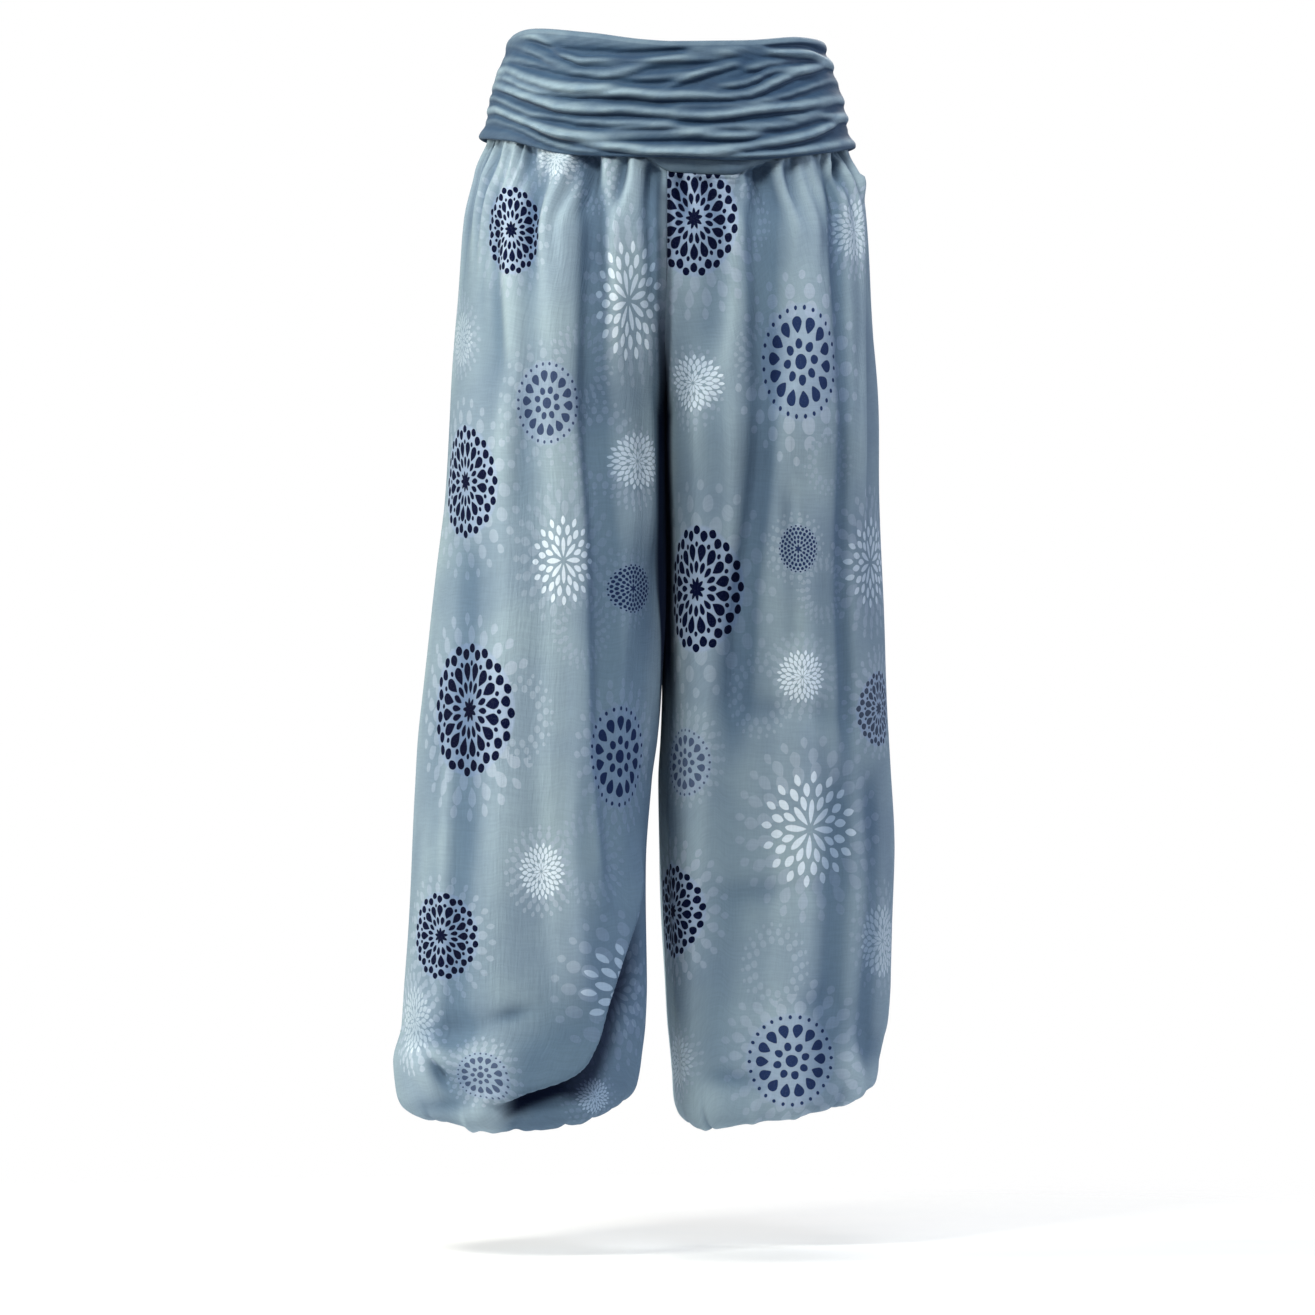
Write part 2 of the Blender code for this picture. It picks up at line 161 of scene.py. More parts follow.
def follow(knots: Sequence[float], values: Sequence[float], at: Array) -> Array:
    """The values at some places on a smooth curve through the knots that doesn't overshoot them.

    Args:
        knots: Rising places of the known values.
        values: The known values.
        at: The places that are asked for.

    Returns:
        The values there, held at the ends.
    """
    knots, values = np.asarray(knots, float), np.asarray(values, float)
    at = np.clip(at, knots[0], knots[-1])
    slopes = np.diff(values) / np.diff(knots)
    before, after = slopes[:-1], slopes[1:]
    alike = before * after > 0
    inner = np.where(alike, 2 * before * after / np.where(alike, before + after, 1.0), 0.0)
    tangents = np.concatenate([slopes[:1], inner, slopes[-1:]])
    i = np.clip(np.searchsorted(knots, at, side="right") - 1, 0, len(knots) - 2)
    span = knots[i + 1] - knots[i]
    s = (at - knots[i]) / span
    start = (1 + 2 * s) * (1 - s) ** 2 * values[i] + s * s * (3 - 2 * s) * values[i + 1]
    return start + span * s * (1 - s) * ((1 - s) * tangents[i] - s * tangents[i + 1])


def column(rows: Sequence[Any], key: str, field_name: str, at: Array) -> Array:
    """A table's named column at some places of its key column."""
    knots = [getattr(row, key) for row in rows]
    return follow(knots, [getattr(row, field_name) for row in rows], at)


def table(kind: type, *rows: tuple[Any, ...]) -> tuple[Any, ...]:
    """A table whose rows are all of one kind."""
    return tuple(kind(*row) for row in rows)


def steps(*spans: tuple[float, float, int]) -> Array:
    """Values that run through several spans, each with its own number of equal steps.

    Args:
        spans: First value, last value and number of steps of each span.

    Returns:
        The rising values, with each shared end once.
    """
    parts = [np.linspace(first, last, count, endpoint=False) for first, last, count in spans]
    return np.concatenate([*parts, [spans[-1][1]]])


def soften(values: Array, axis: int) -> Array:
    """Averages a lattice's values with their neighbours.

    Args:
        values: The values, rows by columns.
        axis: The axis that the neighbours lie on.

    Returns:
        The averaged values. The ends count themselves as their missing neighbours.
    """
    inner = values.shape[axis] - 1
    before = np.concatenate([values.take([0], axis), values.take(range(inner), axis)], axis)
    after = np.concatenate([values.take(range(1, inner + 1), axis), values.take([-1], axis)], axis)
    return (before + 2 * values + after) / 4


def unit(vectors: Array) -> Array:
    """Vectors brought to a length of 1."""
    return vectors / np.maximum(np.linalg.norm(vectors, axis=-1, keepdims=True), 1e-9)


def normals_of(points: Array) -> Array:
    """The unit normals of a lattice of points, rows by columns."""
    return unit(np.cross(np.gradient(points, axis=1), np.gradient(points, axis=0)))


def run_along(points: Array, axis: int) -> Array:
    """Measures a lattice on its cloth.

    Args:
        points: The points, rows by columns.
        axis: 0 to measure down the columns, 1 to measure along the rows.

    Returns:
        How far each point lies from the start of its row or column.
    """
    length = np.linalg.norm(np.diff(points, axis=axis), axis=-1)
    zero = np.zeros_like(np.take(length, [0], axis=axis))
    return np.cumsum(np.concatenate([zero, length], axis=axis), axis=axis)


def cloth_map(places: Array) -> Array:
    """Where a lattice's places, in millimetres, lie on the flat cloth, in metres."""
    return np.stack([run_along(places, 1), run_along(places, 0)], axis=-1) * MM


def link_object(name: str, data: bpy.types.ID) -> bpy.types.Object:
    """Makes an object and links it to the scene.

    Args:
        name: The object's name.
        data: Its mesh, light or camera.

    Returns:
        The new object.
    """
    made = bpy.data.objects.new(name, data)
    bpy.context.scene.collection.objects.link(made)
    return made


# ---- finishes


def linear(code: str) -> tuple[float, float, float, float]:
    """Turns an sRGB colour into a linear one.

    Args:
        code: The colour as a hex code, such as #99ABB4.

    Returns:
        Red, green, blue and a full cover.
    """
    parts = [int(code[i : i + 2], 16) / 255 for i in (1, 3, 5)]
    red, green, blue = (c / 12.92 if c <= 0.04045 else ((c + 0.055) / 1.055) ** 2.4 for c in parts)
    return red, green, blue, 1.0


def add_node(
    tree: bpy.types.NodeTree,
    kind: str,
    *inputs: Any,
    named: dict[str, Any] | None = None,
    **settings: Any,
) -> bpy.types.Node:
    """Adds a node with its settings and links.

    Args:
        tree: The node tree.
        kind: The node's type without the words ShaderNode.
        inputs: For each input in turn, a node or socket to link, a value, or None to leave it.
        named: The same for inputs that are given by name.
        settings: Properties of the node.

    Returns:
        The new node.
    """
    node = tree.nodes.new("ShaderNode" + kind if not kind.startswith("Node") else kind)
    for name, value in settings.items():
        setattr(node, name, value)
    for key, value in [*enumerate(inputs), *(named or {}).items()]:
        if value is None:
            continue
        source = value.outputs[0] if isinstance(value, bpy.types.Node) else value
        if isinstance(source, bpy.types.NodeSocket):
            tree.links.new(source, node.inputs[key])
        else:
            node.inputs[key].default_value = source
    return node


def set_stops(node: bpy.types.Node, colours: Sequence[Sequence[float]]) -> None:
    """Makes a table of a colour ramp, with one flat step for each motif.

    Args:
        node: The colour ramp.
        colours: The motifs' colours in turn.
    """
    ramp = node.color_ramp
    ramp.interpolation = "CONSTANT"
    while len(ramp.elements) < len(colours):
        ramp.elements.new(1.0)
    for place, colour in enumerate(colours):
        ramp.elements[place].position = place / FLOWER_PLACES
        ramp.elements[place].color = colour


def threads(
    tree: bpy.types.NodeTree, width: float, length: float, detail: float, roughness: float
) -> bpy.types.Node:
    """Uneven threads or creases of a real size on the flat cloth.

    Args:
        tree: The material's node tree.
        width: Their width along the cloth's rows, in millimetres.
        length: Their length down the cloth, in millimetres.
        detail: How many finer layers they have.
        roughness: How strong the finer layers are.

    Returns:
        The noise that draws them.
    """
    cloth = add_node(tree, "UVMap", uv_map="cloth")
    sized = add_node(tree, "Mapping", cloth, named={"Scale": (1000 / width, 1000 / length, 1.0)})
    return add_node(
        tree, "TexNoise", sized, noise_dimensions="2D",
        named={"Scale": 1.0, "Detail": detail, "Roughness": roughness},
    )


def new_material(
    name: str, finish: dict[str, Any]
) -> tuple[bpy.types.Material, bpy.types.NodeTree, bpy.types.Node]:
    """Starts a material.

    Args:
        name: Its name.
        finish: The constant inputs of its main shader.

    Returns:
        The material, its node tree and its main shader.
    """
    material = bpy.data.materials.new(name)
    material.use_nodes = True
    shader = material.node_tree.nodes["Principled BSDF"]
    for key, value in finish.items():
        shader.inputs[key].default_value = value
    return material, material.node_tree, shader


class PetalRing(NamedTuple):
    """One ring of a motif, in shares of the motif's radius. A petal is 1 wide where it bulges most;
    taper makes its outer end the fuller one and power makes its tips sharper."""

    count: int
    radius: float
    half_length: float
    half_width: float
    taper: float
    power: float
    phase: float


NO_RING = PetalRing(0, 0.0, 0.001, 0.0, 0.0, 1.0, 0.0)
RINGS: dict[Flower, tuple[PetalRing, ...]] = {
    Flower.STAR: table(
        PetalRing,
        (9, 0.07, 0.120, 0.048, 0.0, 0.5, 0.0), (16, 0.345, 0.098, 0.054, 0.3, 0.6, 0.5),
        (16, 0.570, 0.148, 0.088, 0.5, 0.65, 0.0), (16, 0.705, 0.045, 0.044, 0.0, 0.5, 0.5),
        (16, 0.840, 0.088, 0.088, 0.2, 0.55, 0.0), (16, 0.930, 0.070, 0.086, 0.0, 0.5, 0.5),
    ),
    Flower.DOTTED: table(
        PetalRing,
        (1, 0.00, 0.135, 0.9, 0.0, 0.5, 0.0), (8, 0.315, 0.092, 0.086, 0.0, 0.5, 0.5),
        (14, 0.640, 0.145, 0.106, 0.5, 0.5, 0.0), (28, 0.930, 0.043, 0.043, 0.0, 0.5, 0.5),
    ),
    Flower.ROSETTE: table(
        PetalRing,
        (6, 0.10, 0.10, 0.05, 0.0, 0.6, 0.0), (12, 0.30, 0.085, 0.062, 0.2, 0.6, 0.5),
        (18, 0.48, 0.082, 0.066, 0.2, 0.6, 0.0), (22, 0.66, 0.080, 0.074, 0.2, 0.6, 0.5),
        (26, 0.83, 0.068, 0.076, 0.1, 0.5, 0.0), (26, 0.95, 0.038, 0.052, 0.0, 0.5, 0.5),
    ),
    Flower.BURST: table(
        PetalRing,
        (8, 0.30, 0.215, 0.060, 0.35, 0.65, 0.0), (8, 0.47, 0.130, 0.068, 0.2, 0.65, 0.5),
        (16, 0.68, 0.122, 0.076, 0.1, 0.65, 0.0), (16, 0.89, 0.108, 0.068, 0.0, 0.75, 0.5),
    ),
    Flower.DAHLIA: table(
        PetalRing,
        (10, 0.19, 0.150, 0.048, 0.3, 0.7, 0.0), (10, 0.34, 0.120, 0.060, 0.3, 0.7, 0.5),
        (20, 0.54, 0.135, 0.068, 0.2, 0.7, 0.0), (20, 0.74, 0.135, 0.080, 0.0, 0.8, 0.5),
        (20, 0.91, 0.110, 0.062, -0.2, 0.9, 0.0),
    ),
    Flower.PETAL_HALO: table(
        PetalRing,
        (17, 0.60, 0.110, 0.070, 0.4, 0.7, 0.0), (21, 0.77, 0.100, 0.068, 0.3, 0.7, 0.5),
        (24, 0.93, 0.065, 0.050, 0.2, 0.7, 0.0),
    ),
    Flower.DOT_HALO: table(
        PetalRing,
        (14, 0.60, 0.090, 0.090, 0.0, 0.5, 0.0), (18, 0.78, 0.080, 0.080, 0.0, 0.5, 0.5),
        (24, 0.94, 0.050, 0.050, 0.0, 0.5, 0.0),
    ),
}
# How strongly a dark motif's disc is dyed under its petals.
DISC_COVER = {Flower.STAR: 0.75, Flower.DOTTED: 0.45, Flower.ROSETTE: 0.3}


@dataclass(frozen=True)
class PrintedViscose:
    """Crinkled viscose plain weave, piece dyed and screen printed. It gives the eye a soft, nearly
    matt face with a little sheen on its folds, clouded grey blue and lilac blue, fine upright
    slubs, and flat inks that the crinkle breaks up slightly. Painted shade darkens the folds'
    valleys, the swag's crease and the cleft between the legs."""

    name: str = "viscose_plain_weave_printed"
    ground: str = "#99ABB4"
    cloud: str = "#8B9DAB"
    ghost: str = "#ABB8C6"
    disc: str = "#A0B0C9"
    navy: str = "#020A2C"
    slate: str = "#26365C"
    white: str = "#DCE7F0"
    # Painted shade in the folds' valleys, set by the relief map.
    painted_fold_shade: str = "#A2B1C3"
    # Painted shade in the swag's crease, between the legs, in the deepest hollows and evenly on the
    # ankle casings.
    crease: str = "#18264F"
    # Painted light on the folds' crests, nearly white, set by the relief map.
    painted_fold_light: str = "#FBFDFF"
    sheen_tint: str = "#9DB8E2"
    roughness: float = 0.74
    specular: float = 0.04
    sheen: float = 0.02
    sheen_roughness: float = 0.42
    slub_mm: float = 1.7
    slub_length_mm: float = 16.0
    pick_mm: float = 1.9
    pick_length_mm: float = 22.0
    crinkle_mm: float = 3.4
    crinkle_length_mm: float = 30.6
    cloud_mm: float = 95.0
    cut_mm: float = 12.5
    cut_wobble: float = 0.022
    flake_mm: float = 10 / 7
    petal_edge: float = 90.0
    printed: bool = True

    def ring_group(self) -> bpy.types.NodeTree:
        """One ring of petals as a node group.

        Returns:
            A group that takes a radius, an angle in turns and the ring's sizes as two colours and
            a phase, and gives 1 inside a petal and 0 outside.
        """
        group = bpy.data.node_groups.new("petal_ring", "ShaderNodeTree")
        for name, kind in (
            ("Radius", "Float"), ("Turns", "Float"), ("Layout", "Color"),
            ("Phase", "Float"), ("Form", "Color"),
        ):
            group.interface.new_socket(name, in_out="INPUT", socket_type="NodeSocket" + kind)
        group.interface.new_socket("Petal", in_out="OUTPUT", socket_type="NodeSocketFloat")
        given = add_node(group, "NodeGroupInput").outputs
        layout = add_node(group, "SeparateColor", given["Layout"]).outputs
        form = add_node(group, "SeparateColor", given["Form"]).outputs
        values = {
            "radius": given["Radius"], "turns": given["Turns"], "phase": given["Phase"],
            "petals": layout[0], "ring": layout[1], "half_length": layout[2],
            "half_width": form[0], "taper": form[1], "power": form[2],
        }
        for result, operation, *inputs in (
            ("count", "MULTIPLY", "petals", float(MOST_PETALS)),
            ("count", "ROUND", "count"),
            ("cell", "MULTIPLY_ADD", "turns", "count", "phase"),
            ("cell", "FRACT", "cell"),
            ("cell", "SUBTRACT", "cell", 0.5),
            ("cell", "ABSOLUTE", "cell"),
            ("pitch", "MULTIPLY", "radius", 2 * np.pi),
            ("pitch", "DIVIDE", "pitch", "count"),
            ("beside", "MULTIPLY", "cell", "pitch"),
            ("out", "SUBTRACT", "radius", "ring"),
            ("out", "DIVIDE", "out", "half_length"),
            ("out", "MAXIMUM", "out", -1.0),
            ("out", "MINIMUM", "out", 1.0),
            ("square", "MULTIPLY", "out", "out"),
            ("hump", "SUBTRACT", 1.0, "square"),
            ("hump", "POWER", "hump", "power"),
            ("width", "MULTIPLY_ADD", "out", "taper", 1.0),
            ("width", "MULTIPLY", "hump", "width"),
            ("width", "MULTIPLY", "width", "half_width"),
            ("inside", "SUBTRACT", "width", "beside"),
        ):
            given_values = (values.get(value, value) for value in inputs)
            values[result] = add_node(group, "Math", *given_values, operation=operation)
        petal = add_node(
            group, "Math", values["inside"], self.petal_edge, operation="MULTIPLY", use_clamp=True
        )
        add_node(group, "NodeGroupOutput", petal)
        return group

    def flower_mask(
        self,
        tree: bpy.types.NodeTree,
        group: bpy.types.NodeTree,
        place: str,
        flower: str,
        wobble: bpy.types.Node,
        slots: int,
    ) -> tuple[bpy.types.Node, bpy.types.Node, bpy.types.NodeSocket, bpy.types.NodeSocket]:
        """All the petals of the motifs that one pair of maps places.

        Args:
            tree: The material's node tree.
            group: The petal ring's group.
            place: The map that holds each point's offset from its motif, in the motif's radii.
            flower: The map that holds which motif it is and how strongly it is printed.
            wobble: A small offset that makes the outlines look hand cut.
            slots: How many rings are read.

        Returns:
            The petals' mask, the radius, which motif it is and its strength.
        """
        offset = add_node(tree, "UVMap", uv_map=place)
        offset = add_node(tree, "VectorMath", offset, wobble, operation="ADD")
        axes = add_node(tree, "SeparateXYZ", offset).outputs
        flat = add_node(tree, "CombineXYZ", axes[0], axes[1], 0.0)
        radius = add_node(tree, "VectorMath", flat, operation="LENGTH").outputs["Value"]
        angle = add_node(tree, "Math", axes[1], axes[0], operation="ARCTAN2")
        turns = add_node(tree, "Math", angle, 2 * np.pi, operation="DIVIDE")
        which = add_node(tree, "SeparateXYZ", add_node(tree, "UVMap", uv_map=flower)).outputs
        petals = None
        for slot in range(slots):
            rings = [RINGS[kind][slot] if slot < len(RINGS[kind]) else NO_RING for kind in Flower]
            layout = add_node(tree, "ValToRGB", which[0])
            form = add_node(tree, "ValToRGB", which[0])
            set_stops(
                layout, [(r.count / MOST_PETALS, r.radius, r.half_length, r.phase) for r in rings]
            )
            set_stops(form, [(r.half_width, r.taper, r.power, 1.0) for r in rings])
            ring = add_node(
                tree, "Group", node_tree=group,
                named={
                    "Radius": radius, "Turns": turns, "Layout": layout.outputs["Color"],
                    "Phase": layout.outputs["Alpha"], "Form": form.outputs["Color"],
                },
            )
            petals = add_node(tree, "Math", petals, ring, operation="MAXIMUM") if petals else ring
        return petals, radius, which[0], which[1]

    def ink(self, tree: bpy.types.NodeTree, ground: bpy.types.Node) -> bpy.types.Node:
        """Prints the pale ghosts, the discs and the motifs over the dyed ground.

        Args:
            tree: The material's node tree.
            ground: The dyed ground's colour.

        Returns:
            The printed colour.
        """
        group = self.ring_group()
        cloth = add_node(tree, "UVMap", uv_map="cloth")
        jitter = add_node(
            tree, "TexNoise", cloth, noise_dimensions="2D", named={"Scale": 1000 / self.cut_mm}
        )
        centred = add_node(
            tree, "VectorMath", jitter.outputs["Color"], (0.5, 0.5, 0.5), operation="SUBTRACT"
        )
        wobble = add_node(
            tree, "VectorMath", centred, operation="SCALE", named={"Scale": self.cut_wobble}
        )
        halo = self.flower_mask(tree, group, "ghost", "ghost_flower", wobble, 3)
        faint = add_node(tree, "Math", halo[0], halo[3], operation="MULTIPLY")
        colour = add_node(tree, "MixRGB", faint, ground, linear(self.ghost), use_clamp=True)
        petals, radius, which, strength = self.flower_mask(
            tree, group, "motif", "flower", wobble, 6
        )
        inks = {Flower.STAR: self.navy, Flower.DOTTED: self.slate, Flower.ROSETTE: self.slate}
        ink = add_node(tree, "ValToRGB", which)
        set_stops(ink, [linear(inks.get(kind, self.white)) for kind in Flower])
        cover = add_node(tree, "ValToRGB", which)
        set_stops(cover, [(DISC_COVER.get(kind, 0.0),) * 3 + (1.0,) for kind in Flower])
        rim = add_node(
            tree, "MapRange", radius, 1.03, 0.97, 0.0, 1.0, interpolation_type="SMOOTHSTEP"
        )
        disc = add_node(tree, "Math", rim, cover.outputs["Color"], operation="MULTIPLY")
        colour = add_node(tree, "MixRGB", disc, colour, linear(self.disc))
        flakes = add_node(
            tree, "TexNoise", cloth, noise_dimensions="2D", named={"Scale": 1000 / self.flake_mm}
        )
        whole = add_node(tree, "MapRange", flakes, 0.25, 0.5, 0.96, 1.0)
        amount = add_node(tree, "Math", petals, strength, operation="MULTIPLY")
        amount = add_node(tree, "Math", amount, whole, operation="MULTIPLY")
        return add_node(tree, "MixRGB", amount, colour, ink)

    def material(self) -> bpy.types.Material:
        """Makes the material.

        Returns:
            The finished material.
        """
        made, tree, shader = new_material(self.name, {
            "Roughness": self.roughness, "Specular IOR Level": self.specular,
            "Sheen Weight": self.sheen, "Sheen Tint": linear(self.sheen_tint),
            "Sheen Roughness": self.sheen_roughness,
        })
        clouds = add_node(
            tree, "TexNoise", add_node(tree, "TexCoord").outputs["Object"],
            named={"Scale": 1000 / self.cloud_mm, "Detail": 2.0, "Roughness": 0.5},
        )
        clouds = add_node(tree, "MapRange", clouds, 0.36, 0.64, 0.0, 1.0)
        ground = add_node(tree, "MixRGB", clouds, linear(self.ground), linear(self.cloud))
        slub = threads(tree, self.slub_mm, self.slub_length_mm, 2.0, 0.6)
        pick = threads(tree, self.pick_length_mm, self.pick_mm, 1.0, 0.5)
        thread = add_node(tree, "Math", slub, pick, operation="ADD")
        shade = add_node(tree, "MapRange", thread, 0.72, 1.28, 0.955, 1.045)
        colour = self.ink(tree, ground) if self.printed else ground
        colour = add_node(tree, "VectorMath", colour.outputs[0], shade, operation="MULTIPLY")
        # Painted light and shade: the relief map's first part darkens the folds' valleys and leaves
        # their crests light.
        relief = add_node(tree, "SeparateXYZ", add_node(tree, "UVMap", uv_map="relief")).outputs
        crest = add_node(
            tree, "MapRange", relief[0], 0.28, 0.66, 0.0, 1.0, interpolation_type="SMOOTHSTEP"
        )
        painted_fold_light = add_node(tree, "MixRGB", crest, linear(self.painted_fold_shade), linear(self.painted_fold_light))
        colour = add_node(tree, "VectorMath", colour, painted_fold_light, operation="MULTIPLY")
        # Painted shade: the relief map's second part darkens the colour towards the crease colour.
        dark = add_node(tree, "MixRGB", relief[1], (1.0, 1.0, 1.0, 1.0), linear(self.crease))
        colour = add_node(tree, "VectorMath", colour, dark, operation="MULTIPLY")
        tree.links.new(colour.outputs[0], shader.inputs["Base Color"])
        crinkle = threads(tree, self.crinkle_mm, self.crinkle_length_mm, 3.0, 0.6)
        fine = add_node(
            tree, "Bump", named={"Strength": 0.35, "Distance": 0.0005, "Height": thread}
        )
        soft = add_node(
            tree, "Bump", named={
                "Strength": 0.5, "Distance": 0.0012, "Height": crinkle, "Normal": fine,
            },
        )
        tree.links.new(soft.outputs[0], shader.inputs["Normal"])
        return made


@dataclass(frozen=True)
class SlateJersey:
    """Viscose and elastane single jersey. It gives the eye a matt slate blue face with a soft bloom
    on the ruches, partly sheen and partly painted shade in the tucks between them, and very fine
    lengthways ribs of knit stitches."""

    name: str = "single_jersey_slate"
    face: str = "#899FAC"
    hollow: str = "#71899C"
    painted_tuck_shade: str = "#5F7D9A"
    crest: str = "#FFFFFF"
    roughness: float = 0.68
    specular: float = 0.3
    sheen: float = 0.12
    sheen_roughness: float = 0.4
    rib_mm: float = 1.5
    rib_length_mm: float = 9.0
    mottle_mm: float = 24.0

    def material(self) -> bpy.types.Material:
        """Makes the material. The ribs are drawn twice as far apart as they really are, because
        the real pitch is too fine to show.

        Returns:
            The finished material.
        """
        made, tree, shader = new_material(self.name, {
            "Roughness": self.roughness, "Specular IOR Level": self.specular,
            "Sheen Weight": self.sheen, "Sheen Roughness": self.sheen_roughness,
        })
        cloth = add_node(tree, "UVMap", uv_map="cloth")
        mottle = add_node(
            tree, "TexNoise", cloth, noise_dimensions="2D",
            named={"Scale": 1000 / self.mottle_mm, "Detail": 4.0, "Roughness": 0.6},
        )
        mottle = add_node(tree, "MapRange", mottle, 0.3, 0.7, 0.0, 1.0)
        colour = add_node(tree, "MixRGB", mottle, linear(self.hollow), linear(self.face))
        ribs = threads(tree, self.rib_length_mm, self.rib_mm, 2.0, 0.55)
        shade = add_node(tree, "MapRange", ribs, 0.3, 0.7, 0.965, 1.03)
        colour = add_node(tree, "VectorMath", colour, shade, operation="MULTIPLY")
        # Painted shade: the ruches' relief map darkens the tucks under each crest.
        relief = add_node(tree, "SeparateXYZ", add_node(tree, "UVMap", uv_map="relief")).outputs
        crest = add_node(
            tree, "MapRange", relief[0], 0.22, 0.98, 0.0, 1.0, interpolation_type="SMOOTHSTEP"
        )
        painted_ruche_shade = add_node(tree, "MixRGB", crest, linear(self.painted_tuck_shade), linear(self.crest))
        colour = add_node(tree, "VectorMath", colour, painted_ruche_shade, operation="MULTIPLY")
        tree.links.new(colour.outputs[0], shader.inputs["Base Color"])
        bump = add_node(tree, "Bump", named={"Strength": 0.4, "Distance": 0.0005, "Height": ribs})
        tree.links.new(bump.outputs[0], shader.inputs["Normal"])
        return made


# ---- cloth as a lattice


@dataclass
class ClothPiece:
    """One thin piece of cloth, made from a lattice of places, rows by columns, in millimetres."""

    name: str
    node: str
    slot: str
    places: Array
    wall: float
    flat: tuple[float, float]
    area: float
    held: Hold
    outward_from: tuple[float, float]
    maps: dict[str, Array] = field(default_factory=dict)
    closed: bool = False

    def draw_maps(self, mesh: bpy.types.Mesh, lattice: Array) -> None:
        """Writes the piece's maps to its mesh.

        Args:
            mesh: The piece's mesh.
            lattice: Each vertex's row and column.
        """
        index = np.empty(len(mesh.loops), np.int32)
        mesh.loops.foreach_get("vertex_index", index)
        row, col = lattice[index].T
        for name, values in self.maps.items():
            layer = mesh.uv_layers.new(name=name)
            if values.shape[:2] == self.places.shape[:2]:
                layer.data.foreach_set("uv", values[row, col].ravel())
                continue
            # The map changes from face to face, so it is read by the face's first corner.
            first_row = np.repeat(row.reshape(-1, 4).min(axis=1), 4)
            first_col = np.repeat(col.reshape(-1, 4).min(axis=1), 4)
            cell = values[first_row, first_col, row - first_row, col - first_col]
            layer.data.foreach_set("uv", cell.ravel())

    def sew(self, material: bpy.types.Material) -> bpy.types.Object:
        """Makes the piece, with its wall, maps and material, hides the solid it stands for and
        hangs it on the root body.

        Args:
            material: The piece's finish.

        Returns:
            The finished object.
        """
        rows, columns = self.places.shape[:2]
        bm = bmesh.new()
        bmesh.ops.create_grid(bm, x_segments=columns - 1, y_segments=rows - 1, size=0.5)
        mesh = bpy.data.meshes.new(self.name)
        bm.to_mesh(mesh)
        bm.free()
        flat = np.empty(len(mesh.vertices) * 3)
        mesh.vertices.foreach_get("co", flat)
        flat = flat.reshape(-1, 3) + 0.5
        lattice = np.rint(flat[:, 1::-1] * (rows - 1, columns - 1)).astype(int)
        placed = self.places[lattice[:, 0], lattice[:, 1]] * MM
        mesh.vertices.foreach_set("co", placed.ravel())
        self.draw_maps(mesh, lattice)
        self.face_outwards(mesh)
        mesh.materials.append(material)
        obj = link_object(self.name, mesh)
        wall = obj.modifiers.new("wall", "SOLIDIFY")
        wall.thickness = self.wall * MM
        wall.offset = 0.0
        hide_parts(self.node)
        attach(obj, "root")
        return obj

    def face_outwards(self, mesh: bpy.types.Mesh) -> None:
        """Turns the faces over if most of them look towards the middle of the tube.

        Args:
            mesh: The mesh, with its vertices in place.
        """
        bm = bmesh.new()
        bm.from_mesh(mesh)
        if self.closed:
            bmesh.ops.remove_doubles(bm, verts=bm.verts, dist=1e-5)
        bm.normal_update()
        middle = Vector((*self.outward_from, 0)) * MM
        outward = 0.0
        for face in bm.faces:
            away = face.calc_center_median() - middle
            away.z = 0
            outward += face.normal.dot(away) * face.calc_area()
        if outward < 0:
            bmesh.ops.reverse_faces(bm, faces=bm.faces)
        for face in bm.faces:
            face.smooth = True
        bm.to_mesh(mesh)
        bm.free()


# ---- waistband


class Girth(NamedTuple):
    """Half extents of the waistband's outer layer towards each side, at one height."""

    height: float
    right: float
    left: float
    front: float
    back: float


class Ruche(NamedTuple):
    """One draped fold of the band: how far its crest stands out, how softly it rises above the
    crest and tucks in below, how the back's copy rises, and its path as seen from the front."""

    crest: float
    above: float
    below: float
    at_back: float
    path: tuple[tuple[float, float], ...]


